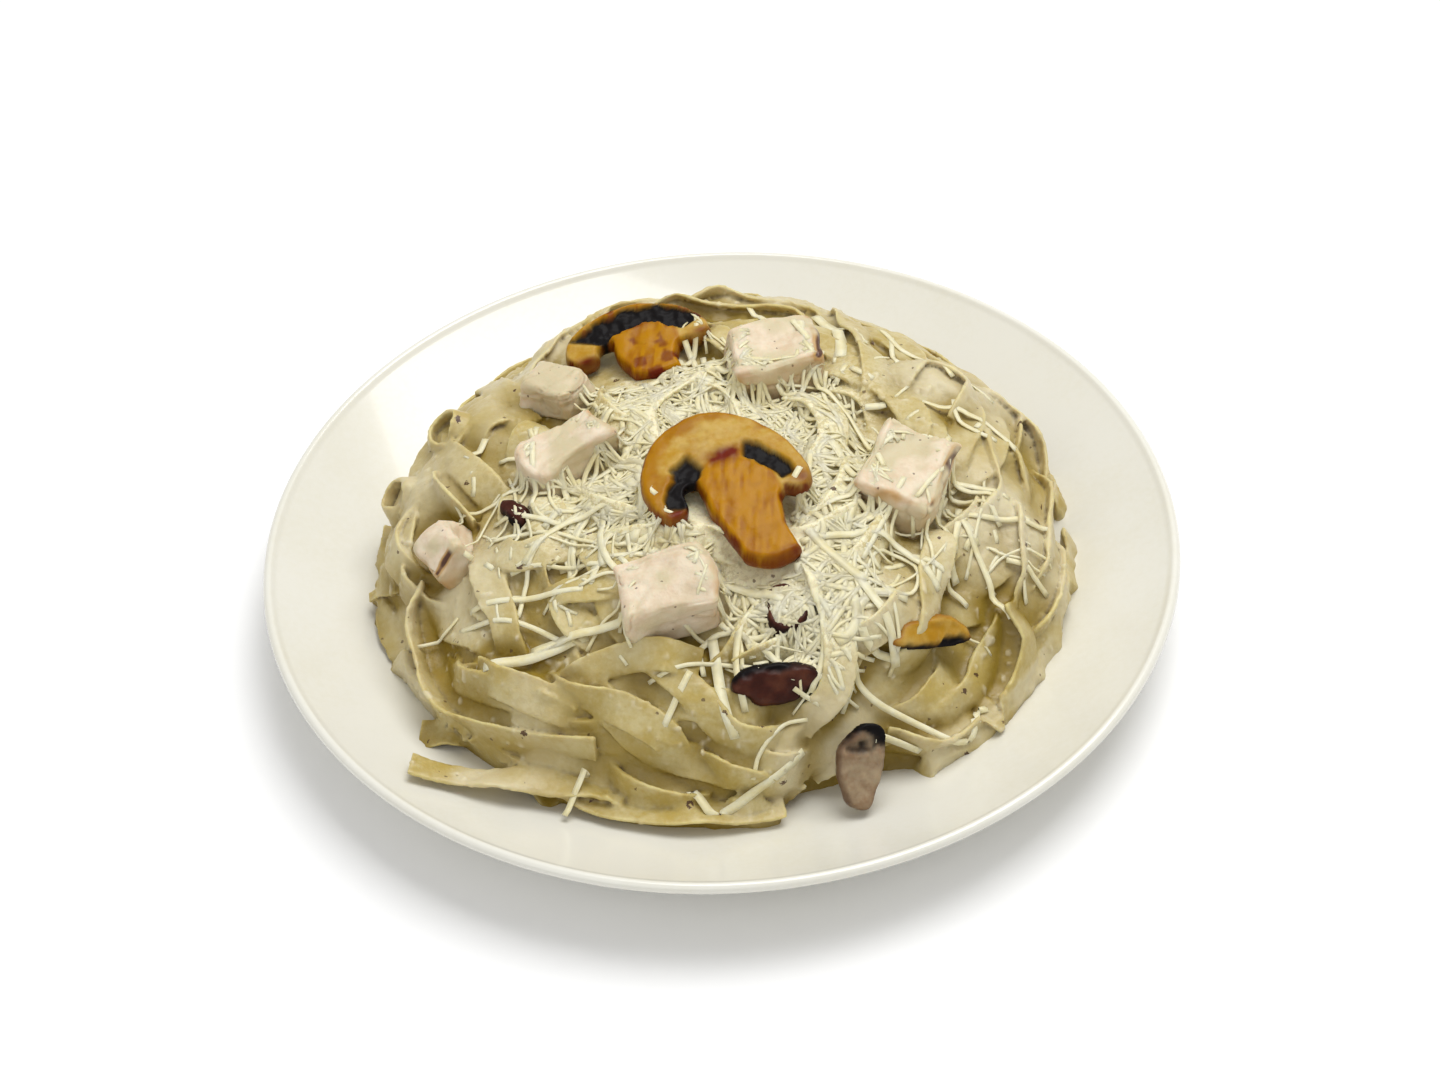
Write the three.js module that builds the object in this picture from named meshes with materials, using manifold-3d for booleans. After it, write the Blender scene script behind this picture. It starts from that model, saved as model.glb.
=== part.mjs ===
/**
 * A round white plate with a heap of wide pasta ribbons in a pale mushroom sauce. Diced chicken and
 * fried mushroom slices lie on the heap, and shredded hard cheese is strewn over it.
 *
 * Millimetres, +Z up, +X to the right, -Y towards the person who eats. The origin is the middle of
 * the plate, on the table.
 *
 * Places on the heap are given as [bearing, distance]: the bearing in degrees round the heap's middle,
 * counted from +X towards +Y, and the distance in mm walked from the heap's top over its surface. Past
 * the foot of the heap the same walk goes on over the plate. A lift is measured square to that surface.
 */
import * as THREE from 'three';
import { mergeVertices } from 'three/addons/utils/BufferGeometryUtils.js';
import Module from 'manifold-3d';

const wasm = await Module();
wasm.setup();

// ---------------------------------------------------------------- driving dimensions

const PLATE = {
  radius: 130, height: 24, wellRadius: 78, wellLevel: 5.5, curve: 1.9, wall: 3.8,
  lipInner: 127, lipThickness: 3.2, footOuter: 75, footInner: 69, footHollow: 1.6, segments: 48,
};
const HEAP = {
  radius: 95, top: 49, crown: 4.2, shoulder: 0.62, middle: new THREE.Vector2(1, 3),
  reach: 151, walkStep: 1, rounding: 14, segments: 44,
};
const RIBBON = { width: 9.6, thickness: 1.9, step: 10, sag: 0.7, sink: 0.4, tuck: 4 };
const SHRED = { thickness: 1.1, step: 11, sag: 1.5, sink: 0.35, tuck: 1.2 };
const CORE_DEPTH = 2.5;
const PLATE_LIFT = { from: 106, to: 114, height: 0.9 };
const CLEARANCE = 0.35;
const SKIN = 0.95;
const WELD = 0.001;
const SEED = 20417;

/** Swells and dips of the heap: [bearing, distance, height, spread]. */
const SWELLS = [
  [275, 22, 5, 26], [95, 72, 3, 22], [10, 92, 2.5, 18], [190, 98, 4, 14], [345, 96, 2, 14],
  [225, 96, 2, 16], [60, 30, -1.5, 16], [318, 78, -3, 12], [212, 76, -2.5, 12], [150, 74, 2, 16],
];

/** The ribbons that show best: tilt from lying flat (0) to standing on edge (90), and the course. */
const RIBBONS = [
  { tilt: 0, course: [[224, 71], [228, 65], [239, 57], [252, 41]] },
  { tilt: 10, course: [[160, 92], [180, 68], [193, 61]] },
  { tilt: 25, course: [[175, 83], [188, 74], [197, 72], [204, 84]] },
  { tilt: 15, course: [[184, 64], [201, 67], [212, 65], [219, 52]] },
  { tilt: 0, course: [[145, 86], [154, 61], [160, 46]] },
  { tilt: 15, course: [[154, 99], [141, 104], [127, 104], [113, 100]] },
  { tilt: 10, course: [[118, 82], [104, 88], [90, 92], [75, 93]] },
  { tilt: 15, course: [[98, 96], [82, 100], [66, 100], [50, 96]] },
  { tilt: 10, course: [[74, 86], [58, 94], [44, 101], [30, 104]] },
  { tilt: 5, course: [[138, 74], [126, 80], [112, 90], [102, 101]] },
  { tilt: 5, course: [[95, 74], [84, 80], [70, 82], [58, 76]] },
  { tilt: 10, course: [[62, 84], [50, 66], [36, 56], [18, 48]] },
  { tilt: 30, course: [[24, 54], [30, 68], [20, 76], [8, 68]] },
  { tilt: 10, course: [[26, 82], [17, 90], [8, 97], [357, 101]] },
  { tilt: 10, course: [[352, 84], [340, 88], [331, 96]] },
  { tilt: 15, course: [[3, 95], [348, 95], [336, 98]] },
  { tilt: 0, course: [[352, 103], [341, 104], [329, 108]] },
  { tilt: 15, course: [[331, 104], [325, 112], [315, 116]] },
  { tilt: 0, course: [[238, 87], [245, 78], [254, 73], [264, 74]] },
  { tilt: 10, course: [[235, 88], [250, 87], [259, 93], [260, 101]] },
  { tilt: 15, course: [[214, 100], [222, 96], [232, 92], [242, 92]] },
  { tilt: 10, course: [[222, 93], [235, 90], [246, 92]] },
  { tilt: 5, course: [[295, 50], [293, 69], [289, 83], [281, 93]] },
  { tilt: 15, course: [[311, 90], [305, 93], [298, 100], [292, 106]] },
  { tilt: 20, course: [[264, 99], [273, 104], [279, 112]] },
  { tilt: 0, course: [[270, 98], [278, 101], [287, 106]] },
  { tilt: 35, course: [[329, 92], [325, 104], [316, 112], [305, 110], [296, 104]] },
  { tilt: 25, open: 'end', course: [[197, 92], [205, 100], [214, 104], [223, 105], [234, 102], [247, 98]] },
  { tilt: 20, course: [[191, 98], [186, 111], [190, 118], [198, 117], [206, 111]] },
  { tilt: 10, course: [[246, 106], [256, 108], [265, 112]] },
  { tilt: 0, open: 'end', course: [[238, 119], [248, 119], [256, 121], [264, 121], [277, 118]] },
  { tilt: 0, open: 'start', course: [[224, 142], [229, 134], [236, 127], [243, 121], [250, 117]] },
];

/** The largest cheese shreds: [width, course]. */
const SHREDS = [
  [1.6, [[84, 74], [71, 56], [52, 44]]], [1.5, [[318, 60], [322, 74], [324, 86]]],
  [2.4, [[303, 60], [303, 74], [302, 86]]], [1.8, [[292, 76], [296, 92], [305, 108], [314, 119]]],
  [2.6, [[299, 44], [302, 58], [304, 64]]], [2.8, [[239, 72], [231, 82], [224, 90]]],
  [2.4, [[248, 66], [236, 74], [229, 82]]], [1.6, [[341, 66], [331, 82], [326, 94]]],
  [2.6, [[266, 66], [268, 82], [270, 92]]], [1.5, [[291, 66], [288, 76], [284, 84]]],
  [1.6, [[16, 60], [8, 74], [2, 82]]], [1.5, [[24, 74], [17, 82]]],
  [2.2, [[262, 118], [272, 106], [281, 98]]], [1.6, [[245, 128], [246, 116]]],
  [1.5, [[196, 66], [203, 56], [213, 50]]], [1.4, [[140, 88], [146, 74]]],
  [1.6, [[307, 40], [326, 44], [340, 34]]], [1.6, [[303, 34], [321, 30], [345, 26]]],
  [1.5, [[212, 84], [222, 70], [233, 62]]], [1.5, [[350, 66], [348, 80]]],
  [1.5, [[125, 72], [112, 66]]], [1.5, [[46, 76], [38, 66], [30, 60]]],
  [1.6, [[258, 90], [262, 76]]], [1.8, [[300, 108], [292, 98]]],
];
const LOOSE_SHREDS = 26;
const FILLERS = 110;
const FILLER_PILE = 0.25;

/** Diced chicken: [width, depth, height], place on the heap, lift of the base, turn and lean. */
const CHICKEN = {
  chicken_front: { size: [26, 20, 17], at: [255, 58], lift: -3, turn: 12, lean: 0 },
  chicken_right: { size: [23, 28, 16], at: [341, 52], lift: -3, turn: -28, lean: 6 },
  chicken_left: { size: [27, 15, 13], at: [179, 42], lift: -3, turn: 38, lean: 4 },
  chicken_back: { size: [27, 22, 15], at: [64, 40], lift: -3, turn: 12, lean: 4 },
  chicken_back_left: { size: [17, 14, 12], at: [148, 53], lift: -2, turn: -30, lean: 0 },
  chicken_side_left: { size: [17, 13, 13], at: [197, 80], lift: -4, turn: -72, lean: 0 },
};

/** Mushroom slices: length over the cap, width, thickness, place, lift, turn and lean. */
const MUSHROOM = {
  mushroom_top: { kind: 'long', size: [54, 46, 6], at: [273, 29], lift: 6.2, turn: 18, lean: 10 },
  mushroom_back: { kind: 'long', size: [28, 45, 7], at: [115, 53], lift: 1.5, turn: 14, lean: 26 },
  mushroom_front: { kind: 'piece', size: [12, 24, 5], at: [278, 80], lift: 3, turn: 14, lean: 20 },
  mushroom_right: { kind: 'piece', size: [9, 28, 5], at: [311, 83], lift: 3, turn: 5, lean: 20 },
  mushroom_low: { kind: 'piece', size: [23, 14, 5], at: [289, 103], lift: 7.6, turn: 10, lean: -14 },
  mushroom_mid: { kind: 'piece', size: [18, 12, 5], at: [284, 62], lift: 2, turn: 10, lean: 0 },
  mushroom_left: { kind: 'piece', size: [8, 11, 5], at: [198, 59], lift: 2, turn: -40, lean: 0 },
  mushroom_under: { kind: 'piece', size: [7, 10, 5], at: [243, 111], lift: 3, turn: -30, lean: 0 },
};

const FINISH = {
  glaze: { color: 0xefece0, roughness: 0.16 },
  pasta: { color: 0xc9c09b, roughness: 0.45 },
  chicken: { color: 0xe8d3c0, roughness: 0.55 },
  friedMushroom: { color: 0xa9722f, roughness: 0.4 },
  darkMushroom: { color: 0x4a332b, roughness: 0.5 },
};

// ---------------------------------------------------------------- small tools

/** A repeatable run of numbers from 0 to 1. */
function makeRandom(seed) {
  let state = seed;
  return () => {
    state = (state * 1664525 + 1013904223) % 4294967296;
    return state / 4294967296;
  };
}

const random = makeRandom(SEED);
const between = (low, high) => low + (high - low) * random();
const toRadians = THREE.MathUtils.degToRad;

/** The geometry with only its places left and shared corners merged. */
function bare(geometry) {
  const copy = geometry.clone();
  copy.deleteAttribute('normal');
  copy.deleteAttribute('uv');
  return mergeVertices(copy, WELD);
}

/** A closed solid, ready to be joined or cut, from a geometry. */
function solid(geometry) {
  const merged = bare(geometry);
  return new wasm.Manifold(new wasm.Mesh({
    numProp: 3,
    vertProperties: new Float32Array(merged.attributes.position.array),
    triVerts: new Uint32Array(merged.index.array),
  }));
}

/** The geometry of a solid. */
function geometryOf(manifold) {
  const mesh = manifold.getMesh();
  const geometry = new THREE.BufferGeometry();
  geometry.setAttribute('position', new THREE.BufferAttribute(new Float32Array(mesh.vertProperties), 3));
  geometry.setIndex(new THREE.BufferAttribute(new Uint32Array(mesh.triVerts), 1));
  geometry.computeVertexNormals();
  return geometry;
}

/** The geometry with each corner moved outwards by a margin. */
function swollen(geometry, margin) {
  const grown = bare(geometry);
  grown.computeVertexNormals();
  const { position, normal } = grown.attributes;
  for (let i = 0; i < position.count; i += 1) {
    const corner = new THREE.Vector3().fromBufferAttribute(position, i);
    const outwards = new THREE.Vector3().fromBufferAttribute(normal, i);
    corner.addScaledVector(outwards, margin);
    position.setXYZ(i, corner.x, corner.y, corner.z);
  }
  return grown;
}

/** A closed skin over rings of equally many points, with flat ends. */
function loft(rings) {
  const sides = rings[0].length;
  const corners = rings.flat();
  const faces = [];
  for (let i = 0; i + 1 < rings.length; i += 1) {
    for (let j = 0; j < sides; j += 1) {
      const here = i * sides + j;
      const next = i * sides + (j + 1) % sides;
      faces.push(here, next, next + sides, here, next + sides, here + sides);
    }
  }
  const last = (rings.length - 1) * sides;
  for (let j = 1; j + 1 < sides; j += 1) {
    faces.push(0, j + 1, j, last, last + j, last + j + 1);
  }
  const geometry = new THREE.BufferGeometry().setFromPoints(corners);
  geometry.setIndex(faces);
  return geometry;
}

// ---------------------------------------------------------------- the plate

/** Level of the plate's upper face: a flat well, then a curve up to the lip. */
function plateLevel(radius) {
  const climb = (radius - PLATE.wellRadius) / (PLATE.lipInner - PLATE.wellRadius);
  const rise = PLATE.height - 1 - PLATE.wellLevel;
  return PLATE.wellLevel + rise * THREE.MathUtils.clamp(climb, 0, 1.2) ** PLATE.curve;
}

/** Radii from the edge of the well to the lip. */
function bowlRadii(count) {
  const span = PLATE.lipInner - PLATE.wellRadius;
  return Array.from({ length: count }, (_, i) => PLATE.wellRadius + span * i / (count - 1));
}

/** The plate: well, curved bowl, rounded lip, even wall and a foot ring. */
function plateGeometry() {
  const point = (radius, level) => new THREE.Vector2(radius, level);
  const lipLevel = PLATE.height - PLATE.lipThickness;
  const under = bowlRadii(4).slice(1, -1).reverse();
  const outline = [
    point(0, PLATE.footHollow),
    point(PLATE.footInner - 1, PLATE.footHollow), point(PLATE.footInner, 0), point(PLATE.footOuter, 0),
    point(PLATE.footOuter + 1.5, PLATE.wellLevel - PLATE.wall),
    ...under.reverse().map((radius) => point(radius, plateLevel(radius) - PLATE.wall)),
    point(PLATE.lipInner + 1, lipLevel), point(PLATE.radius, PLATE.height - 2),
    point(PLATE.radius - 0.8, PLATE.height - 0.4), point(PLATE.radius - 1.8, PLATE.height),
    ...bowlRadii(6).reverse().map((radius) => point(radius, plateLevel(radius))),
    point(0, PLATE.wellLevel),
  ];
  return new THREE.LatheGeometry(outline, PLATE.segments).rotateX(Math.PI / 2);
}

/** All that lies under the plate's upper face, and a little over it. */
function plateRoom() {
  const outline = [
    new THREE.Vector2(0, -5), new THREE.Vector2(PLATE.lipInner, -5),
    ...bowlRadii(6).reverse().map((radius) => new THREE.Vector2(radius, plateLevel(radius) + CLEARANCE)),
    new THREE.Vector2(0, PLATE.wellLevel + CLEARANCE),
  ];
  return solid(new THREE.LatheGeometry(outline, PLATE.segments).rotateX(Math.PI / 2));
}

// ---------------------------------------------------------------- the heap's surface

/** Level of the bare heap: flat on top, steep at its edge, and the plate beyond that. */
function heapLevel(radius) {
  if (radius >= HEAP.radius) return plateLevel(radius);
  const fall = (1 - (radius / HEAP.radius) ** HEAP.crown) ** HEAP.shoulder;
  return Math.max(PLATE.wellLevel + (HEAP.top - PLATE.wellLevel) * fall, plateLevel(radius));
}

/** Points [radius, level] every millimetre of the walk from the heap's top out over the plate. */
function walk() {
  const line = [];
  for (let radius = 0; radius < HEAP.radius - 3; radius += 0.2) line.push(radius);
  for (let turn = 0; turn < 1; turn += 0.005) line.push(HEAP.radius - 3 + 3 * Math.sin(turn * Math.PI / 2));
  for (let radius = HEAP.radius; radius < PLATE.radius; radius += 0.2) line.push(radius);
  const path = line.map((radius) => new THREE.Vector2(radius, heapLevel(radius)));
  const stations = [path[0].clone()];
  let walked = 0;
  for (let i = 1; i < path.length; i += 1) {
    const stride = path[i].distanceTo(path[i - 1]);
    while (stations.length * HEAP.walkStep <= walked + stride) {
      const share = (stations.length * HEAP.walkStep - walked) / stride;
      stations.push(path[i - 1].clone().lerp(path[i], share));
    }
    walked += stride;
  }
  return rounded(stations);
}

/** The walk with its kinks rounded off by repeated averaging of neighbours. */
function rounded(stations) {
  let line = stations;
  for (let pass = 0; pass < HEAP.rounding; pass += 1) {
    line = line.map((here, i) => {
      if (i === line.length - 1) return here;
      const before = i === 0 ? new THREE.Vector2(-line[1].x, line[1].y) : line[i - 1];
      return here.clone().multiplyScalar(2).add(before).add(line[i + 1]).multiplyScalar(0.25);
    });
  }
  return line;
}

const WALK = walk();

/** Place on the unrolled heap of a bearing and a distance. */
function spot([bearing, distance]) {
  const angle = toRadians(bearing);
  return new THREE.Vector2(distance * Math.cos(angle), distance * Math.sin(angle));
}

/** Point and outward direction over a place of the unrolled heap, at a lift from its surface. */
function over(place, lift) {
  const distance = Math.min(place.length(), WALK.length - 2.001);
  const index = Math.floor(distance);
  const at = WALK[index].clone().lerp(WALK[index + 1], distance - index);
  const along = WALK[Math.min(index + 2, WALK.length - 1)].clone().sub(WALK[Math.max(index - 1, 0)]);
  along.normalize();
  const angle = Math.atan2(place.y, place.x);
  const radius = at.x - along.y * lift;
  const level = at.y + along.x * lift;
  const point = new THREE.Vector3(
    HEAP.middle.x + radius * Math.cos(angle), HEAP.middle.y + radius * Math.sin(angle), level);
  const normal = new THREE.Vector3(-along.y * Math.cos(angle), -along.y * Math.sin(angle), along.x);
  return { point, normal };
}

/** Height of the swells and dips at a place of the unrolled heap, and of what lies on the bare plate. */
function swell(place) {
  let height = PLATE_LIFT.height * THREE.MathUtils.smoothstep(place.length(), PLATE_LIFT.from, PLATE_LIFT.to);
  for (const [bearing, distance, rise, spread] of SWELLS) {
    const away = place.distanceTo(spot([bearing, distance])) / spread;
    height += rise * Math.exp(-away * away);
  }
  return height;
}

/** Lift of the heap so far over each cell of the unrolled surface, as pieces are laid on it. */
const relief = {
  cell: 2,
  count: 2 * Math.ceil(HEAP.reach / 2) + 1,
  index(place) {
    const column = Math.round(place.x / this.cell) + (this.count - 1) / 2;
    const row = Math.round(place.y / this.cell) + (this.count - 1) / 2;
    const last = this.count - 1;
    return THREE.MathUtils.clamp(row, 0, last) * this.count + THREE.MathUtils.clamp(column, 0, last);
  },
  at(place) {
    return this.lift[this.index(place)];
  },
  raise(place, height) {
    const index = this.index(place);
    this.lift[index] = Math.max(this.lift[index], height);
  },
};
relief.lift = Float32Array.from({ length: relief.count ** 2 }, (_, i) => {
  const half = (relief.count - 1) / 2;
  const place = new THREE.Vector2(i % relief.count - half, Math.floor(i / relief.count) - half);
  return swell(place.multiplyScalar(relief.cell));
});

/** The heap under its ribbons: one closed body that the plate's shape is cut from. */
function coreSolid() {
  const distances = [20, 38, 54, 67, 78, 87, 95, 102, 108, 113];
  const rings = distances.map((distance) => Array.from({ length: HEAP.segments }, (_, i) => {
    const place = spot([i * 360 / HEAP.segments, distance]);
    return over(place, swell(place) - CORE_DEPTH).point;
  }));
  const foot = rings.at(-1).map((point) => new THREE.Vector3(point.x, point.y, 0));
  const body = loft([foot, ...rings.reverse()]);
  return solid(body);
}

// ---------------------------------------------------------------- ribbons and shreds

/** Corners of a ribbon's section, a flat box: [across, up]. */
function ribbonSection(width, thickness) {
  const half = width / 2;
  const up = thickness / 2;
  return [[half, -up], [-half, -up], [-half, up], [half, up]];
}

/** Corners of a shred's section, a low ridge on a flat base. */
function shredSection(width, thickness) {
  return [[width / 2, -thickness / 2], [-width / 2, -thickness / 2], [0, thickness / 2]];
}

/** Evenly spaced stations along a smooth course over the unrolled heap. */
function stationsAlong(course, step) {
  const curve = new THREE.SplineCurve(course);
  return curve.getSpacedPoints(Math.max(2, Math.round(curve.getLength() / step)));
}

/** Direction across the course at each station. */
function sideways(stations) {
  return stations.map((_, i) => {
    const before = stations[Math.max(i - 1, 0)];
    const after = stations[Math.min(i + 1, stations.length - 1)];
    const ahead = after.clone().sub(before).normalize();
    return new THREE.Vector2(ahead.y, -ahead.x);
  });
}

/**
 * Lay a strip on all that lies there already. It rests on the highest points under it, bridges what is
 * lower with a little sag, and leans where one side is higher.
 */
function settle(stations, across, width, sag) {
  const tries = [-0.45, -0.2, 0, 0.2, 0.45].map((share) => share * width);
  const steps = stations.map((place, i) => {
    const [low, high] = [-0.4, 0.4].map((v) => relief.at(place.clone().addScaledVector(across[i], v * width)));
    return THREE.MathUtils.clamp((high - low) / (0.8 * width), -0.5, 0.5);
  });
  const slopes = steps.map((slope, i) => (slope + (steps[i - 1] ?? slope) + (steps[i + 1] ?? slope)) / 3);
  const lifts = stations.map((place, i) => Math.max(...tries.map((v) => (
    relief.at(place.clone().addScaledVector(across[i], v)) - slopes[i] * v))));
  for (let pass = 0; pass < 6; pass += 1) {
    for (let i = 1; i + 1 < lifts.length; i += 1) {
      lifts[i] = Math.max(lifts[i], (lifts[i - 1] + lifts[i + 1]) / 2 - sag);
    }
  }
  return { lifts, slopes };
}

/** A strip laid on the heap along a course, its ends tucked in, and the relief raised under it. */
function strip({ stations, tilt, width, open }, { thickness, sag, sink, tuck }, section) {
  const across = sideways(stations);
  const lean = toRadians(tilt);
  const { lifts, slopes } = settle(stations, across, width * Math.cos(lean), sag);
  const rise = Math.sin(lean) * width / 2;
  const last = stations.length - 1;
  const halfway = Math.floor(last / 2);
  const outwards = stations[halfway].dot(across[halfway]) > 0 ? -1 : 1;
  const rings = stations.map((place, i) => {
    const tucked = (i === 0 && open !== 'start') || (i === last && open !== 'end') ? tuck : 0;
    const lift = lifts[i] + rise - tucked;
    const { point, normal } = over(place, lift + thickness / 2 - sink);
    const side = over(place.clone().add(across[i]), lift).point
      .sub(over(place.clone().sub(across[i]), lift).point).normalize();
    const angle = lean * outwards + Math.atan(slopes[i]);
    const wide = side.multiplyScalar(Math.cos(angle)).addScaledVector(normal, Math.sin(angle));
    const ahead = normal.clone().cross(wide).normalize();
    const up = wide.clone().cross(ahead).normalize();
    return section.map(([u, v]) => point.clone().addScaledVector(wide, u).addScaledVector(up, v));
  });
  raiseUnder(stations, across, lifts, width * Math.cos(lean), thickness + 1.6 * rise - sink);
  return solid(loft(rings));
}

/** Raise the relief along a strip by its height. */
function raiseUnder(stations, across, lifts, width, height) {
  for (let i = 0; i + 1 < stations.length; i += 1) {
    for (let share = 0; share < 1; share += 0.2) {
      const place = stations[i].clone().lerp(stations[i + 1], share);
      const lift = THREE.MathUtils.lerp(lifts[i], lifts[i + 1], share);
      for (let v = -width / 2; v <= width / 2; v += 1) {
        relief.raise(place.clone().addScaledVector(across[i], v), lift + height);
      }
    }
  }
}

/** The longest run of stations that stays clear of every topping. */
function clearRun(stations, margin) {
  let best = [];
  let run = [];
  for (const place of stations) {
    run = TOPPING_ROOM.every(({ middle, reach }) => place.distanceTo(middle) > reach + margin)
      ? [...run, place] : [];
    if (run.length > best.length) best = run;
  }
  return best;
}

/** A seeded arc round the heap, bent more tightly than the heap's own edge. */
function fillerCourse(index) {
  const bearing = index * 137.5 + between(-10, 10);
  const distance = 12 + 90 * Math.sqrt((index * 0.755) % 1);
  const length = between(55, 95);
  const start = spot([bearing, distance]);
  const round = random() < 0.5 ? -1 : 1;
  const heading = toRadians(bearing + round * 90 + between(-30, 30));
  const bend = round / Math.max(distance * between(0.7, 1.2), 22);
  return [-0.5, -0.25, 0, 0.25, 0.5].map((share) => {
    const walked = share * length;
    const angle = heading + bend * walked / 2;
    return start.clone().add(new THREE.Vector2(Math.cos(angle), Math.sin(angle)).multiplyScalar(walked));
  });
}

/** How high the heap is piled already, on average along a course. */
function pileUnder(stations) {
  const heights = stations.map((place) => relief.at(place) - swell(place));
  return heights.reduce((sum, height) => sum + height, 0) / heights.length;
}

/** All ribbons: seeded ones wherever the heap is still low, then those that show best. */
function ribbonSolids() {
  const section = ribbonSection(RIBBON.width, RIBBON.thickness);
  const lay = (ribbon, highest) => {
    const stations = clearRun(stationsAlong(ribbon.course, RIBBON.step), RIBBON.width / 2);
    if (stations.length < 3 || pileUnder(stations) > highest) return [];
    return [strip({ ...ribbon, width: RIBBON.width, stations }, RIBBON, section)];
  };
  const fillers = Array.from({ length: FILLERS }, (_, i) => (
    lay({ tilt: between(0, 20), course: fillerCourse(i) }, FILLER_PILE)));
  const shown = RIBBONS.map((ribbon) => lay({ ...ribbon, course: ribbon.course.map(spot) }, Infinity));
  return [...fillers, ...shown].flat();
}

/** Seeded shreds round the top of the heap and down its front. */
function looseShred() {
  const bearing = between(0, 360);
  const front = Math.max(0, Math.cos(toRadians(bearing - 275)));
  const middle = spot([bearing, between(18, 62 + 40 * front)]);
  const heading = between(0, Math.PI);
  const reach = between(7, 15);
  const ahead = new THREE.Vector2(Math.cos(heading), Math.sin(heading)).multiplyScalar(reach);
  const bow = new THREE.Vector2(-ahead.y, ahead.x).multiplyScalar(between(-0.35, 0.35));
  return [middle.clone().sub(ahead), middle.clone().add(bow), middle.clone().add(ahead)];
}

/** All cheese shreds. */
function shredSolids() {
  const named = SHREDS.map(([width, course]) => ({ width, course: course.map(spot) }));
  const loose = Array.from({ length: LOOSE_SHREDS }, () => ({ width: between(1.3, 2), course: looseShred() }));
  return [...named, ...loose]
    .map(({ width, course }) => ({
      width, tilt: 0, stations: clearRun(stationsAlong(course, SHRED.step), 1.5),
    }))
    .filter(({ stations }) => stations.length > 1)
    .map((shred) => strip(shred, SHRED, shredSection(shred.width, SHRED.thickness)));
}

// ---------------------------------------------------------------- toppings

/** Stand a geometry on the heap: its +Z square to the surface, turned and leant towards the front. */
function standOnHeap(geometry, { at, lift, turn, lean }) {
  const place = spot(at);
  const { point, normal } = over(place, lift + swell(place));
  const upright = new THREE.Quaternion().setFromUnitVectors(new THREE.Vector3(0, 0, 1), normal);
  const leant = new THREE.Quaternion().setFromAxisAngle(new THREE.Vector3(1, 0, 0), toRadians(lean));
  const turned = new THREE.Quaternion().setFromAxisAngle(new THREE.Vector3(0, 0, 1), toRadians(turn));
  const pose = upright.premultiply(leant).multiply(turned);
  return geometry.applyMatrix4(new THREE.Matrix4().compose(point, pose, new THREE.Vector3(1, 1, 1)));
}

/** A die of chicken: a box with rounded, uneven faces. */
function chickenGeometry({ size: [width, depth, height] }, phase) {
  const geometry = bare(new THREE.BoxGeometry(width, depth, height, 3, 3, 2));
  const { position } = geometry.attributes;
  for (let i = 0; i < position.count; i += 1) {
    const corner = new THREE.Vector3().fromBufferAttribute(position, i);
    const share = new THREE.Vector3(corner.x / width, corner.y / depth, corner.z / height).multiplyScalar(2);
    const squeeze = 1 - 0.07 * (share.lengthSq() - 1);
    corner.multiplyScalar(squeeze);
    corner.x += 0.9 * Math.sin(phase + 2.1 * share.y + 1.3 * share.z);
    corner.y += 0.9 * Math.sin(2 * phase + 1.9 * share.x + 1.7 * share.z);
    corner.z += 0.8 * Math.sin(3 * phase + 2.3 * share.x - 1.8 * share.y);
    position.setXYZ(i, corner.x, corner.y, corner.z + height / 2);
  }
  return geometry;
}

/** Outline of a mushroom cut lengthwise: an arched cap with curled rims, open on the left, over its stem. */
function longOutline(length, width) {
  const at = (across, along) => [across * width, along * length];
  const outline = new THREE.Shape();
  outline.moveTo(...at(-0.15, 0.1));
  outline.quadraticCurveTo(...at(-0.25, 0.14), ...at(-0.25, 0));
  outline.quadraticCurveTo(...at(-0.26, -0.1), ...at(-0.4, -0.08));
  outline.bezierCurveTo(...at(-0.56, 0.1), ...at(-0.44, 0.5), ...at(0.02, 0.52));
  outline.bezierCurveTo(...at(0.34, 0.5), ...at(0.56, 0.14), ...at(0.51, -0.07));
  outline.quadraticCurveTo(...at(0.45, -0.17), ...at(0.34, -0.1));
  outline.lineTo(...at(0.285, -0.14));
  outline.lineTo(...at(0.245, -0.29));
  outline.lineTo(...at(0.26, -0.455));
  outline.quadraticCurveTo(...at(0.07, -0.54), ...at(-0.07, -0.4));
  outline.lineTo(...at(-0.15, -0.1));
  outline.closePath();
  return outline;
}

/** Outline of a broken piece of a slice: an uneven bean. */
function pieceOutline(length, width, phase) {
  const sides = 9;
  const points = Array.from({ length: sides }, (_, i) => {
    const angle = 2 * Math.PI * i / sides;
    const uneven = 1 + 0.14 * Math.sin(2 * angle + phase) + 0.1 * Math.sin(3 * angle + 2 * phase);
    return new THREE.Vector2(uneven * width / 2 * Math.cos(angle), uneven * length / 2 * Math.sin(angle));
  });
  return new THREE.Shape(points);
}

/** A mushroom slice or a piece of one. */
function mushroomGeometry({ kind, size: [length, width, thickness] }, phase) {
  const long = kind === 'long';
  const outline = long ? longOutline(length, width) : pieceOutline(length, width, phase);
  const bevel = long ? 1 : 0.8;
  const geometry = new THREE.ExtrudeGeometry(outline, {
    depth: thickness - 2 * bevel, curveSegments: 4, bevelEnabled: true,
    bevelThickness: bevel, bevelSize: bevel, bevelOffset: -bevel, bevelSegments: 1,
  });
  return geometry.translate(0, 0, bevel - thickness / 2);
}

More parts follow.
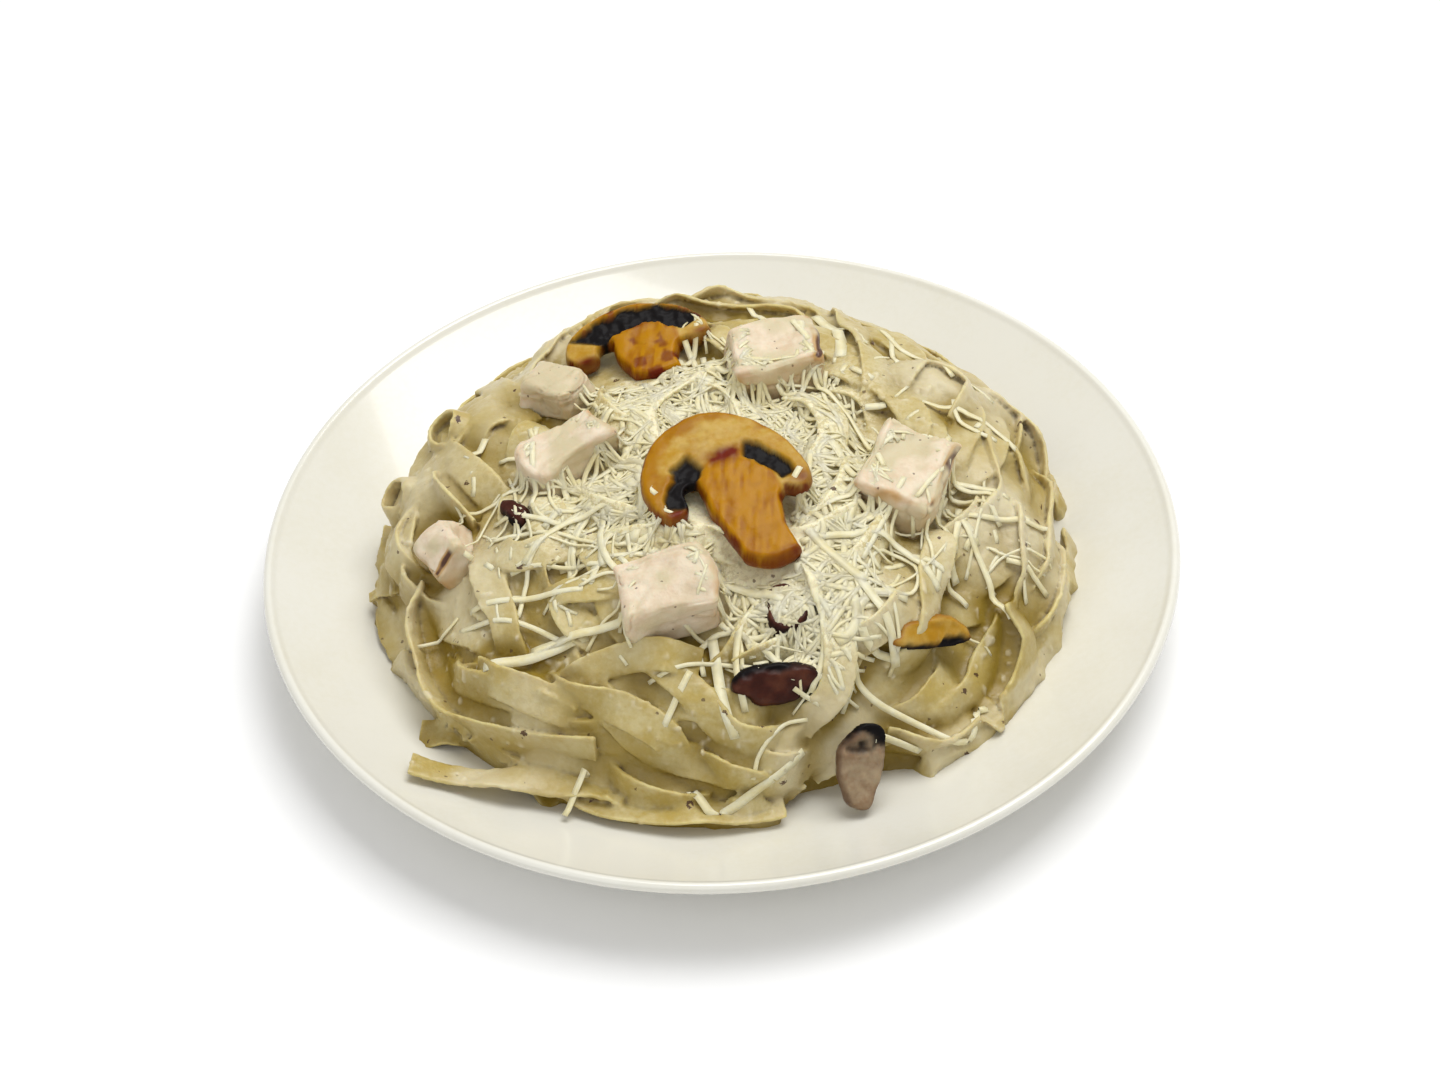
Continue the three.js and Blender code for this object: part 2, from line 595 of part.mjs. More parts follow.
const toppings = [
  ...Object.entries(CHICKEN).map(([name, piece], i) => ({
    name, finish: FINISH.chicken, piece, geometry: chickenGeometry(piece, 1.7 * i + 0.4),
  })),
  ...Object.entries(MUSHROOM).map(([name, piece], i) => ({
    name, finish: piece.kind === 'long' ? FINISH.friedMushroom : FINISH.darkMushroom, piece,
    geometry: mushroomGeometry(piece, 1.3 * i + 0.9),
  })),
];
for (const topping of toppings) topping.geometry = standOnHeap(bare(topping.geometry), topping.piece);

/** Room on the unrolled heap that ribbons leave to each topping. */
const TOPPING_ROOM = toppings.map(({ piece: { at, size } }) => ({
  middle: spot(at), reach: 0.3 * Math.max(size[0], size[1]),
}));

// ---------------------------------------------------------------- the whole

/** Volume-wise largest body of a solid, without loose scraps and sealed hollows. */
function mainBody(manifold) {
  return manifold.decompose().reduce((best, body) => (body.volume() > best.volume() ? body : best));
}

/** The heap: core, ribbons and shreds in one body, cut clear of the plate and of every topping. */
function pastaGeometry() {
  const laid = [coreSolid(), ...ribbonSolids(), ...shredSolids()];
  const heap = wasm.Manifold.union(laid);
  const rooms = toppings.map(({ geometry }) => solid(swollen(geometry, SKIN)));
  const cut = wasm.Manifold.union([plateRoom(), ...rooms]);
  const welded = solid(geometryOf(heap.subtract(cut)));
  return geometryOf(mainBody(welded));
}

/** A named piece with its own material. */
function piece(name, geometry, { color, roughness }) {
  const mesh = new THREE.Mesh(geometry, new THREE.MeshStandardMaterial({ color, roughness, metalness: 0 }));
  mesh.name = name;
  return mesh;
}

const group = new THREE.Group();
group.add(piece('plate', plateGeometry(), FINISH.glaze));
group.add(piece('pasta', pastaGeometry(), FINISH.pasta));
for (const { name, geometry, finish } of toppings) group.add(piece(name, geometry, finish));

export default group;
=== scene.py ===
"""Looks for a plate of ribbon pasta in mushroom sauce with chicken, fried mushrooms and shredded cheese.

Lengths in this file are millimetres and become metres when a mesh is written. A place on the heap is a
point of its unrolled surface: the distance from the heap's top, walked over the surface and on over the
plate, in the direction of a bearing. A lift is measured square to that surface.
"""
import logging
import math
from dataclasses import dataclass, field, replace
from enum import Enum
from itertools import product

import bmesh
import bpy
import numpy as np
from mathutils import Matrix, Quaternion, Vector
from mathutils.bvhtree import BVHTree


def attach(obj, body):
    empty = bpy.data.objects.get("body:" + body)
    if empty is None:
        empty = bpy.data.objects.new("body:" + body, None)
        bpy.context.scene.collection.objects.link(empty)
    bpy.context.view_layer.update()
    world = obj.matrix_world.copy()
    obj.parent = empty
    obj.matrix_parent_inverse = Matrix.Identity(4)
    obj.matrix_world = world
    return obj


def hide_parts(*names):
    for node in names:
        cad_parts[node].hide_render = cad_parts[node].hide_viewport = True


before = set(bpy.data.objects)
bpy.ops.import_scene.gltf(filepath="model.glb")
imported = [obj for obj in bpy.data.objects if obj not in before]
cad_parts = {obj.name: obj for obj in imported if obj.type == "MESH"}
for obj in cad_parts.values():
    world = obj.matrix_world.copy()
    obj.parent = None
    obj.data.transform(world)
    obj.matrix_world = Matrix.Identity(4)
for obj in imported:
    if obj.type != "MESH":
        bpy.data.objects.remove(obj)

log = logging.getLogger("plate_of_pasta")
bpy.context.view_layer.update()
MM = 0.001
Pair = tuple[float, float]
Triple = tuple[float, float, float]
Colour = Triple
Socket = bpy.types.NodeSocket
Material = bpy.types.Material
Piece = bpy.types.Object
Mesh = bpy.types.Mesh
Array = np.ndarray
Tree = bpy.types.NodeTree


# ---- sizes


@dataclass(frozen=True)
class PlateSizes:
    """The plate's section, as in the solid model."""

    radius: float = 130.0
    height: float = 24.0
    well_radius: float = 78.0
    well_level: float = 5.5
    curve: float = 1.9
    wall: float = 3.8
    lip_inner: float = 127.0
    lip_thickness: float = 3.2
    foot_outer: float = 75.0
    foot_inner: float = 69.0
    foot_hollow: float = 1.6


@dataclass(frozen=True)
class HeapSizes:
    """The bare heap under its ribbons, as in the solid model."""

    radius: float = 95.0
    top: float = 49.0
    crown: float = 4.2
    shoulder: float = 0.62
    middle: Pair = (1.0, 3.0)
    rounding: int = 14
    edge_radius: float = 3.0


PLATE = PlateSizes()
HEAP = HeapSizes()

# Swells and dips of the heap: bearing, distance, height, spread.
SWELLS = (
    (275, 22, 5, 26), (95, 72, 3, 22), (10, 92, 2.5, 18), (190, 98, 4, 14), (345, 96, 2, 14),
    (225, 96, 2, 16), (60, 30, -1.5, 16), (318, 78, -3, 12), (212, 76, -2.5, 12), (150, 74, 2, 16),
)
# Distances between which the heap passes on to the plate, and how high food stands over the plate there.
PLATE_LIFT = (106.0, 114.0, 0.9)
# Distance beyond which the plate is bare.
FOOD_REACH = 132.0


class End(Enum):
    """Which ends of a ribbon show; the others are tucked into the heap."""

    NONE = (False, False)
    STOP = (False, True)
    BOTH = (True, True)


# ---- small mathematics


def noise(points: Array, scale: float, seed: int = 0) -> Array:
    """Smooth value noise: a random height on each corner of a cubic lattice, blended by smoothstep.

    Args:
        points: Places, one row of three each.
        scale: Size of a lattice cell, in the points' unit.
        seed: Picks another field.

    Returns:
        One value from -1 to 1 for each point.
    """
    cells = points / scale
    base = np.floor(cells).astype(np.int64)
    part = cells - base
    ease = part * part * (3 - 2 * part)
    total = np.zeros(len(points))
    for corner in product((0, 1), repeat=3):
        at = base + np.array(corner)
        code = at[:, 0] * 73856093 ^ at[:, 1] * 19349663 ^ at[:, 2] * 83492791 ^ (seed + 7) * 26544357
        code = ((code ^ (code >> 13)) * 1274126177) & 0xFFFFFFFF
        code = ((code ^ (code >> 15)) * 2246822519) & 0xFFFFFFFF
        height = ((code >> 9) & 0xFFFF) / 65535
        total += height * np.prod(np.where(corner, ease, 1 - ease), axis=1)
    return 2 * total - 1


def fractal(points: Array, scale: float, octaves: int = 3, seed: int = 0) -> Array:
    """Sum of noises, each of half the size and half the height of the one before."""
    layers = [noise(points, scale / 2 ** i, seed + i) / 2 ** i for i in range(octaves)]
    return np.sum(layers, axis=0) / (2 - 2 ** (1 - octaves))


def smoothstep(values: Array, low: float, high: float) -> Array:
    """Ease from 0 at low to 1 at high."""
    share = np.clip((values - low) / (high - low), 0, 1)
    return share * share * (3 - 2 * share)


def blur(values: Array, passes: int) -> Array:
    """Average each value with its neighbours along the first axis, a number of times."""
    for _ in range(passes):
        padded = np.concatenate([values[:1], values, values[-1:]])
        values = (padded[:-2] + 2 * padded[1:-1] + padded[2:]) / 4
    return values


def spline(points: Array, step: float, closed: bool = False) -> Array:
    """Catmull-Rom curve through points, cut into equal steps.

    Args:
        points: Control points, one row each.
        step: Wanted length of a step.
        closed: Whether the curve returns to its first point.

    Returns:
        Points on the curve, one row each; a closed curve doesn't repeat its first one.
    """
    points = np.asarray(points, float)
    if closed:
        knots = np.concatenate([points[-1:], points, points[:2]])
    else:
        knots = np.concatenate([2 * points[:1] - points[1:2], points, 2 * points[-1:] - points[-2:-1]])
    share = np.linspace(0, 1, 24, endpoint=False)[:, None]
    before, start, stop, after = knots[:-3], knots[1:-2], knots[2:-1], knots[3:]
    dense = [
        0.5 * (2 * b + (c - a) * share + (2 * a - 5 * b + 4 * c - d) * share ** 2
               + (3 * b - 3 * c + d - a) * share ** 3)
        for a, b, c, d in zip(before, start, stop, after)
    ]
    line = np.concatenate(dense + [knots[-2:-1]])
    walked = np.concatenate([[0], np.cumsum(np.linalg.norm(np.diff(line, axis=0), axis=1))])
    count = max(3, int(round(walked[-1] / step)) + 1)
    stops = np.linspace(0, walked[-1], count)
    curve = np.stack([np.interp(stops, walked, line[:, axis]) for axis in range(line.shape[1])], axis=1)
    return curve[:-1] if closed else curve


def spot(bearing: float, distance: float) -> Array:
    """Place on the unrolled heap of a bearing in degrees and a distance."""
    angle = math.radians(bearing)
    return np.array([distance * math.cos(angle), distance * math.sin(angle)])


def unit(vectors: Array) -> Array:
    """Rows scaled to length 1."""
    return vectors / np.maximum(np.linalg.norm(vectors, axis=-1, keepdims=True), 1e-12)


def level_points(places: Array) -> Array:
    """Flat places as points at height 0, where a noise can be taken."""
    return np.column_stack([places, np.zeros(len(places))])


def bell(places: Array, middle: Array, spread: float) -> Array:
    """Share that falls from 1 at a middle to almost nothing at twice its spread."""
    away = np.linalg.norm(places - middle, axis=1) / spread
    return np.exp(-away * away)


def band(values: Array, low: float, high: float | Array, rise: float, fall: float) -> Array:
    """Share of 1 between two limits, eased in over a rise and out over a fall, both inside them."""
    return smoothstep(values, low, low + rise) * smoothstep(high - values, 0, fall)


# ---- the heap's surface


def plate_level(radius: Array) -> Array:
    """Level of the plate's upper face: a flat well, then a power curve up to the lip."""
    climb = np.clip((radius - PLATE.well_radius) / (PLATE.lip_inner - PLATE.well_radius), 0, 1.2)
    return PLATE.well_level + (PLATE.height - 1 - PLATE.well_level) * climb ** PLATE.curve


class HeapSurface:
    """The bare heap and the plate round it, as a surface of revolution walked from its top."""

    def __init__(self) -> None:
        """Walk the section in steps of 1 mm and round its kinks."""
        turn = np.sin(np.arange(0, 1, 0.005) * math.pi / 2)
        edge = HEAP.radius - HEAP.edge_radius
        radius = np.concatenate([
            np.arange(0, edge, 0.2), edge + HEAP.edge_radius * turn,
            np.arange(HEAP.radius, PLATE.radius, 0.2)])
        level = self._level(radius)
        walked = np.concatenate([[0], np.cumsum(np.hypot(np.diff(radius), np.diff(level)))])
        stops = np.arange(0, walked[-1], 1.0)
        self.radius, self.level = self._rounded(
            np.interp(stops, walked, radius), np.interp(stops, walked, level))

    @staticmethod
    def _level(radius: Array) -> Array:
        """Level of the heap: flat on top, steep at its edge, and the plate beyond that."""
        share = np.clip(radius / HEAP.radius, 0, 1)
        fall = (1 - share ** HEAP.crown) ** HEAP.shoulder
        dome = PLATE.well_level + (HEAP.top - PLATE.well_level) * fall
        return np.where(radius < HEAP.radius, np.maximum(dome, plate_level(radius)), plate_level(radius))

    @staticmethod
    def _rounded(radius: Array, level: Array) -> tuple[Array, Array]:
        """Repeated averaging of neighbours, mirrored at the heap's top."""
        for _ in range(HEAP.rounding):
            wide = np.concatenate([[-radius[1]], radius, [2 * radius[-1] - radius[-2]]])
            high = np.concatenate([[level[1]], level, [2 * level[-1] - level[-2]]])
            radius = (wide[:-2] + 2 * wide[1:-1] + wide[2:]) / 4
            level = (high[:-2] + 2 * high[1:-1] + high[2:]) / 4
        return radius, level

    def _along(self, behind: Array, ahead: Array) -> Array:
        """Directions of the section from one set of its points to another, outward and upward."""
        return unit(np.stack([self.radius[ahead] - self.radius[behind],
                              self.level[ahead] - self.level[behind]], axis=1))

    def over(self, places: Array, lifts: Array | float) -> tuple[Array, Array]:
        """Points over places of the unrolled surface.

        Args:
            places: Places, one row of two each.
            lifts: Height over the surface, one each or one for all.

        Returns:
            The points and the outward directions there, one row of three each.
        """
        distance = np.minimum(np.hypot(places[:, 0], places[:, 1]), len(self.radius) - 2.001)
        index = np.floor(distance).astype(int)
        part = distance - index
        radius, level = (row[index] * (1 - part) + row[index + 1] * part for row in (self.radius, self.level))
        along = self._along(np.maximum(index - 1, 0), np.minimum(index + 2, len(self.radius) - 1))
        bearing = np.arctan2(places[:, 1], places[:, 0])
        cosine, sine = np.cos(bearing), np.sin(bearing)
        radius = radius - along[:, 1] * lifts
        points = np.stack([HEAP.middle[0] + radius * cosine, HEAP.middle[1] + radius * sine,
                           level + along[:, 0] * lifts], axis=1)
        return points, np.stack([-along[:, 1] * cosine, -along[:, 1] * sine, along[:, 0]], axis=1)

    def under(self, points: Array) -> tuple[Array, Array]:
        """Places of the unrolled surface that lie under points, and the points' lifts there."""
        flat = points[:, :2] - HEAP.middle
        radius = np.hypot(flat[:, 0], flat[:, 1])
        gap = (radius[:, None] - self.radius) ** 2 + (points[:, 2:] - self.level) ** 2
        index = gap.argmin(axis=1)
        along = self._along(np.maximum(index - 1, 0), np.minimum(index + 1, len(self.radius) - 1))
        out, high = radius - self.radius[index], points[:, 2] - self.level[index]
        distance = index + out * along[:, 0] + high * along[:, 1]
        lift = high * along[:, 0] - out * along[:, 1]
        return flat / np.maximum(radius, 1e-6)[:, None] * distance[:, None], lift


def swell(places: Array) -> Array:
    """Height of the swells and dips at places, and of what lies on the bare plate."""
    low, high, rise = PLATE_LIFT
    height = rise * smoothstep(np.hypot(places[:, 0], places[:, 1]), low, high)
    for bearing, distance, lift, spread in SWELLS:
        height += lift * bell(places, spot(bearing, distance), spread)
    return height


class Relief:
    """Lift of the heap so far over each millimetre of the unrolled surface, as pieces are laid on it.

    Attributes:
        HALF: Half width of the grid.
        FOOT: Distances between which the depth that the relief starts at fades out.
    """

    HALF = 152
    FOOT = (96, 108)

    def __init__(self, depth: float) -> None:
        """Start at a depth under the swells and dips of the bare heap, and at the plate beyond it."""
        axis = np.arange(-self.HALF, self.HALF + 1, dtype=float)
        grid_x, grid_y = np.meshgrid(axis, axis)
        self.places = np.stack([grid_x.ravel(), grid_y.ravel()], axis=1)
        inside = 1 - smoothstep(np.hypot(self.places[:, 0], self.places[:, 1]), *self.FOOT)
        self.lift = (swell(self.places) - depth * inside).reshape(grid_x.shape)

    @classmethod
    def of(cls, lift: Array) -> "Relief":
        """A relief with given lifts, in the grid's shape."""
        made = cls(0.0)
        made.lift = lift
        return made

    def at(self, places: Array) -> Array:
        """Lift at places of any leading shape, blended between the four nearest cells."""
        cells = np.clip(places + self.HALF, 0, 2 * self.HALF - 1.001)
        base = np.floor(cells).astype(int)
        part = cells - base
        column, row = base[..., 0], base[..., 1]
        near, far = (self.lift[line, column] * (1 - part[..., 0]) + self.lift[line, column + 1] * part[..., 0]
                     for line in (row, row + 1))
        return near * (1 - part[..., 1]) + far * part[..., 1]

    def raise_to(self, places: Array, heights: Array) -> None:
        """Raise the cells nearest to places to at least these heights."""
        cells = np.clip(np.round(places + self.HALF).astype(int), 0, 2 * self.HALF)
        np.maximum.at(self.lift, (cells[..., 1].ravel(), cells[..., 0].ravel()), heights.ravel())


# ---- meshes


class MeshBuilder:
    """Gathers closed skins and writes them as one object."""

    def __init__(self) -> None:
        """Start with nothing."""
        self.points: list[Array] = []
        self.faces: list[Array] = []
        self.values: dict[str, list[Array]] = {}
        self.count = 0

    def add(self, points: Array, faces: Array, **values: Array) -> None:
        """Add a skin.

        Args:
            points: Corners in mm, one row of three each.
            faces: Quads as rows of four corner numbers; a triangle repeats its last corner.
            **values: Named values, one for each corner, kept as mesh attributes.
        """
        self.points.append(points)
        self.faces.append(faces + self.count)
        self.count += len(points)
        for name, numbers in values.items():
            self.values.setdefault(name, []).append(numbers)

    def loft(self, rings: Array, **values: Array) -> None:
        """Add a skin over rings of equally many points, closed by a point at each end.

        Args:
            rings: Array of rings by points by three.
            **values: Named values, one for each ring point, in the shape rings by points.
        """
        count, sides = rings.shape[:2]
        start, stop = rings[0].mean(axis=0), rings[-1].mean(axis=0)
        points = np.concatenate([rings.reshape(-1, 3), start[None], stop[None]])
        ring, side = np.meshgrid(np.arange(count - 1), np.arange(sides), indexing="ij")
        here = ring * sides + side
        beside = ring * sides + (side + 1) % sides
        quads = np.stack([here, beside, beside + sides, here + sides], axis=-1).reshape(-1, 4)
        around = np.arange(sides)
        onward, last = (around + 1) % sides, (count - 1) * sides
        first, final = np.full(sides, count * sides), np.full(sides, count * sides + 1)
        caps = [np.stack([onward, around, first, first], axis=1),
                np.stack([last + around, last + onward, final, final], axis=1)]
        flat = {
            name: np.concatenate([numbers.ravel(), [numbers[0].mean()], [numbers[-1].mean()]])
            for name, numbers in values.items()
        }
        self.add(points, np.concatenate([quads, *caps]), **flat)

    def build(self, name: str, smooth: bool = True) -> Piece:
        """Write the skins as one object at the origin."""
        points = np.concatenate(self.points) * MM
        faces = np.concatenate(self.faces)
        triangle = faces[:, 2] == faces[:, 3]
        sizes = np.where(triangle, 3, 4)
        loops = faces[np.stack([np.ones(len(faces), bool)] * 3 + [~triangle], axis=1)]
        mesh = bpy.data.meshes.new(name)
        mesh.vertices.add(len(points))
        mesh.vertices.foreach_set("co", points.astype(np.float32).ravel())
        mesh.loops.add(len(loops))
        mesh.loops.foreach_set("vertex_index", loops.astype(np.int32))
        mesh.polygons.add(len(faces))
        starts = np.concatenate([[0], np.cumsum(sizes)[:-1]]).astype(np.int32)
        mesh.polygons.foreach_set("loop_start", starts)
        mesh.polygons.foreach_set("use_smooth", np.full(len(faces), smooth))
        mesh.update(calc_edges=True)
        mesh.validate()
        for key, chunks in self.values.items():
            numbers = np.concatenate(chunks).astype(np.float32)
            mesh.attributes.new(key, "FLOAT", "POINT").data.foreach_set("value", numbers)
        piece = bpy.data.objects.new(name, mesh)
        bpy.context.scene.collection.objects.link(piece)
        return piece


def corner_array(mesh: Mesh, kind: str = "co") -> Array:
    """Places in mm of a mesh's corners ("co") or their normals ("normal"), one row each."""
    numbers = np.empty(len(mesh.vertices) * 3, np.float32)
    mesh.vertices.foreach_get(kind, numbers)
    return numbers.reshape(-1, 3).astype(float) / (MM if kind == "co" else 1.0)


def set_vertices(mesh: Mesh, points: Array) -> None:
    """Move a mesh's corners to points in mm."""
    mesh.vertices.foreach_set("co", (points * MM).astype(np.float32).ravel())
    mesh.update()


def set_value(mesh: Mesh, name: str, numbers: Array) -> None:
    """Keep one number for each corner as a mesh attribute."""
    attribute = mesh.attributes.get(name) or mesh.attributes.new(name, "FLOAT", "POINT")
    attribute.data.foreach_set("value", numbers.astype(np.float32))


def convexity(mesh: Mesh, points: Array, normals: Array, passes: int) -> Array:
    """Height of each corner over the average of its surroundings, in mm: over 0 on edges, under 0 in grooves.

    Each pass replaces every corner by the mean of itself and of its neighbours' mean.
    """
    edges = np.empty(2 * len(mesh.edges), np.int32)
    mesh.edges.foreach_get("vertices", edges)
    first, second = edges[::2], edges[1::2]
    count = len(points)
    degree = np.bincount(edges, minlength=count)
    average = points.copy()
    for _ in range(passes):
        for axis in range(3):
            total = (np.bincount(first, average[second, axis], count)
                     + np.bincount(second, average[first, axis], count))
            average[:, axis] = (average[:, axis] + total / np.maximum(degree, 1)) / 2
    return np.sum((points - average) * normals, axis=1)


def applied(piece: Piece) -> None:
    """Replace a piece's mesh by the result of its modifiers."""
    graph = bpy.context.evaluated_depsgraph_get()
    result = bpy.data.meshes.new_from_object(piece.evaluated_get(graph), depsgraph=graph)
    old = piece.data
    piece.modifiers.clear()
    piece.data = result
    bpy.data.meshes.remove(old)


# ---- shader groups


class NodeTree:
    """Short words for putting nodes into a shader tree."""

    def __init__(self, tree: Tree) -> None:
        """Work on a tree."""
        self.tree = tree

    def node(self, kind: str, **settings: object) -> bpy.types.Node:
        """Add a node; settings with a leading in_ are input values, the others are properties."""
        made = self.tree.nodes.new(kind)
        for key, value in settings.items():
            if not key.startswith("in_"):
                setattr(made, key, value)
        for key, value in settings.items():
            if key.startswith("in_"):
                self.feed(made, key[3:].replace("_", " "), value)
        return made

    def feed(self, node: bpy.types.Node, name: str, value: object) -> None:
        """Set an input to a value or link a socket to it."""
        socket = node.inputs[int(name)] if name.isdigit() else node.inputs[name]
        if isinstance(value, Socket):
            self.tree.links.new(value, socket)
        else:
            socket.default_value = value

    def math(self, operation: str, first: object, second: object = 0.0, clamp: bool = False) -> Socket:
        """Result of a Math node."""
        made = self.node("ShaderNodeMath", operation=operation, use_clamp=clamp)
        self.feed(made, "0", first)
        self.feed(made, "1", second)
        return made.outputs[0]

    def times(self, first: object, second: object, clamp: bool = False) -> Socket:
        """Product of two values."""
        return self.math("MULTIPLY", first, second, clamp)

    def ramp(self, value: object, low: object, high: object, start: float = 0.0, stop: float = 1.0) -> Socket:
        """Eased map of a value from low..high to start..stop."""
        made = self.node("ShaderNodeMapRange", interpolation_type="SMOOTHSTEP")
        names = ("Value", "From Min", "From Max", "To Min", "To Max")
        for name, number in zip(names, (value, low, high, start, stop)):
            self.feed(made, name, number)
        return made.outputs[0]

    def mix(self, share: object, first: object, second: object) -> Socket:
        """Blend of two colours, each a socket or display values from 0 to 255."""
        made = self.node("ShaderNodeMix", data_type="RGBA")
        self.feed(made, "0", share)
        for name, colour in (("6", first), ("7", second)):
            self.feed(made, name, linear(*colour) if isinstance(colour, tuple) else colour)
        return made.outputs[2]

    def attribute(self, name: str) -> Socket:
        """A mesh attribute's value."""
        return self.node("ShaderNodeAttribute", attribute_name=name).outputs["Fac"]

    def place(self) -> Socket:
        """Object coordinates in mm."""
        coordinates = self.node("ShaderNodeTexCoord").outputs["Object"]
        return self.node("ShaderNodeMapping", in_Vector=coordinates, in_Scale=[1 / MM] * 3).outputs[0]

    def noise(self, vector: object, size: float, detail: float = 3.0, rough: float = 0.55) -> Socket:
        """Noise of a feature size in mm."""
        made = self.node("ShaderNodeTexNoise", in_Vector=vector, in_Scale=1 / size, in_Detail=detail,
                         in_Roughness=rough)
        return made.outputs["Fac"]

    def sized(self, kind: str, size: Socket, **settings: object) -> bpy.types.Node:
        """A texture node whose features have the size in mm that a socket gives."""
        made = self.node(kind, **settings)
        self.feed(made, "Scale", self.math("DIVIDE", 1.0, size))
        return made


def new_group(name: str, inputs: dict[str, object],
              outputs: dict[str, str]) -> tuple[NodeTree, bpy.types.Node, bpy.types.Node]:
    """An empty shader node group, with its input and its output node.

    Inputs are given with their default values, numbers or colours, and outputs with their socket types.
    """
    tree = bpy.data.node_groups.new(name, "ShaderNodeTree")
    for key, value in inputs.items():
        kind = "NodeSocketFloat" if isinstance(value, (int, float)) else "NodeSocketColor"
        tree.interface.new_socket(key, in_out="INPUT", socket_type=kind).default_value = value
    for key, kind in outputs.items():
        tree.interface.new_socket(key, in_out="OUTPUT", socket_type=kind)
    nodes = NodeTree(tree)
    return nodes, nodes.node("NodeGroupInput"), nodes.node("NodeGroupOutput")


class SharedEffects:
    """Shader effects that more than one finish uses, each a node group built once."""

    def __init__(self) -> None:
        """Build all groups."""
        self.mottle = self._mottle()
        self.specks = self._specks()
        self.grain = self._grain()

    @staticmethod
    def _mottle() -> Tree:
        """Two colours in soft patches of two sizes; the bias is the noise at which they meet."""
        tree, given, out = new_group(
            "mottle", {"Pale": (1, 1, 1, 1), "Deep": (0, 0, 0, 1), "Size": 12.0, "Bias": 0.5},
            {"Color": "NodeSocketColor", "Mask": "NodeSocketFloat"})
        place, bias = tree.place(), given.outputs["Bias"]
        wide = tree.sized("ShaderNodeTexNoise", given.outputs["Size"], in_Vector=place, in_Detail=3.0,
                          in_Roughness=0.6)
        fine = tree.noise(place, 1.9, 3.0, 0.6)
        both = tree.math("ADD", tree.times(wide.outputs["Fac"], 0.7), tree.times(fine, 0.3))
        mask = tree.ramp(both, tree.math("SUBTRACT", bias, 0.14), tree.math("ADD", bias, 0.14))
        tree.feed(out, "Color", tree.mix(mask, given.outputs["Pale"], given.outputs["Deep"]))
        tree.feed(out, "Mask", mask)
        return tree.tree

    @staticmethod
    def _specks() -> Tree:
        """A mask of small dark specks, strewn where a wider noise allows."""
        tree, given, out = new_group(
            "specks", {"Spacing": 4.0, "Radius": 0.14}, {"Mask": "NodeSocketFloat"})
        place = tree.place()
        cells = tree.sized("ShaderNodeTexVoronoi", given.outputs["Spacing"], in_Vector=place,
                           in_Randomness=1.0)
        ragged = tree.times(tree.noise(place, 0.5, 2.0), 0.16)
        reach = tree.math("ADD", cells.outputs["Distance"], tree.math("SUBTRACT", ragged, 0.08))
        dot = tree.math("LESS_THAN", reach, given.outputs["Radius"])
        chosen = tree.math("GREATER_THAN", tree.noise(place, 5.0, 1.0), 0.52)
        tree.feed(out, "Mask", tree.times(dot, chosen))
        return tree.tree

    @staticmethod
    def _grain() -> Tree:
        """Height of a fine uneven skin with a coarser swell under it."""
        tree, given, out = new_group("grain", {"Size": 1.0, "Swell": 5.0}, {"Height": "NodeSocketFloat"})
        place = tree.place()
        fine = tree.sized("ShaderNodeTexNoise", given.outputs["Size"], in_Vector=place, in_Detail=4.0,
                          in_Roughness=0.65)
        wide = tree.sized("ShaderNodeTexNoise", given.outputs["Swell"], in_Vector=place, in_Detail=2.0)
        tree.feed(out, "Height", tree.math("ADD", tree.times(fine.outputs["Fac"], 0.45), wide.outputs["Fac"]))
        return tree.tree


# ---- finishes


def linear(red: int, green: int, blue: int) -> tuple[float, float, float, float]:
    """Scene colour of display values from 0 to 255."""
    def channel(value: int) -> float:
        """One channel of it."""
        share = value / 255
        return share / 12.92 if share <= 0.04045 else ((share + 0.055) / 1.055) ** 2.4
    return channel(red), channel(green), channel(blue), 1.0


class Finish:
    """A material under construction: a Principled shader and short words for its nodes."""

    def __init__(self, name: str, effects: SharedEffects | None, **sockets: object) -> None:
        """Start the material and set plain sockets of its shader."""
        self.effects = effects
        self.material = bpy.data.materials.new(name)
        self.material.use_nodes = True
        self.nodes = NodeTree(self.material.node_tree)
        self.shader = self.material.node_tree.nodes["Principled BSDF"]
        for key, value in sockets.items():
            self.nodes.feed(self.shader, key.replace("_", " "), value)

    def group(self, tree: Tree, **inputs: object) -> bpy.types.Node:
        """Place a shared effect."""
        made = self.nodes.node("ShaderNodeGroup", node_tree=tree)
        for key, value in inputs.items():
            self.nodes.feed(made, key, value)
        return made

    def mottle(self, pale: Colour, deep: Colour, size: float, bias: float) -> tuple[Socket, Socket]:
        """Colour and mask of soft patches of two colours; their size is in mm."""
        made = self.group(self.effects.mottle, Pale=linear(*pale), Deep=linear(*deep), Size=size, Bias=bias)
        return made.outputs["Color"], made.outputs["Mask"]

    def specked(self, colour: Socket, spacing: float, radius: float, strength: float, dark: Colour) -> Socket:
        """A colour with specks strewn on it, spaced in mm; their radius is a share of the spacing."""
        mask = self.group(self.effects.specks, Spacing=spacing, Radius=radius).outputs["Mask"]
        return self.nodes.mix(self.nodes.times(mask, strength), colour, dark)

    def colour(self, socket: object) -> None:
        """Use a socket or a colour as the base colour."""
        self.nodes.feed(self.shader, "Base Color", socket)

    def roughness(self, share: Socket, start: float, stop: float) -> None:
        """Let the roughness run from start to stop as a share runs from 0 to 1."""
        self.nodes.feed(self.shader, "Roughness", self.nodes.ramp(share, 0.0, 1.0, start, stop))

    def grain(self, size: float, swell: float, depth: float, strength: float) -> None:
        """Roughen the normal by the shared grain; its sizes and its depth are in mm."""
        height = self.group(self.effects.grain, Size=size, Swell=swell).outputs["Height"]
        made = self.nodes.node("ShaderNodeBump", in_Strength=strength, in_Distance=depth * MM,
                               in_Height=height)
        self.nodes.feed(self.shader, "Normal", made.outputs[0])


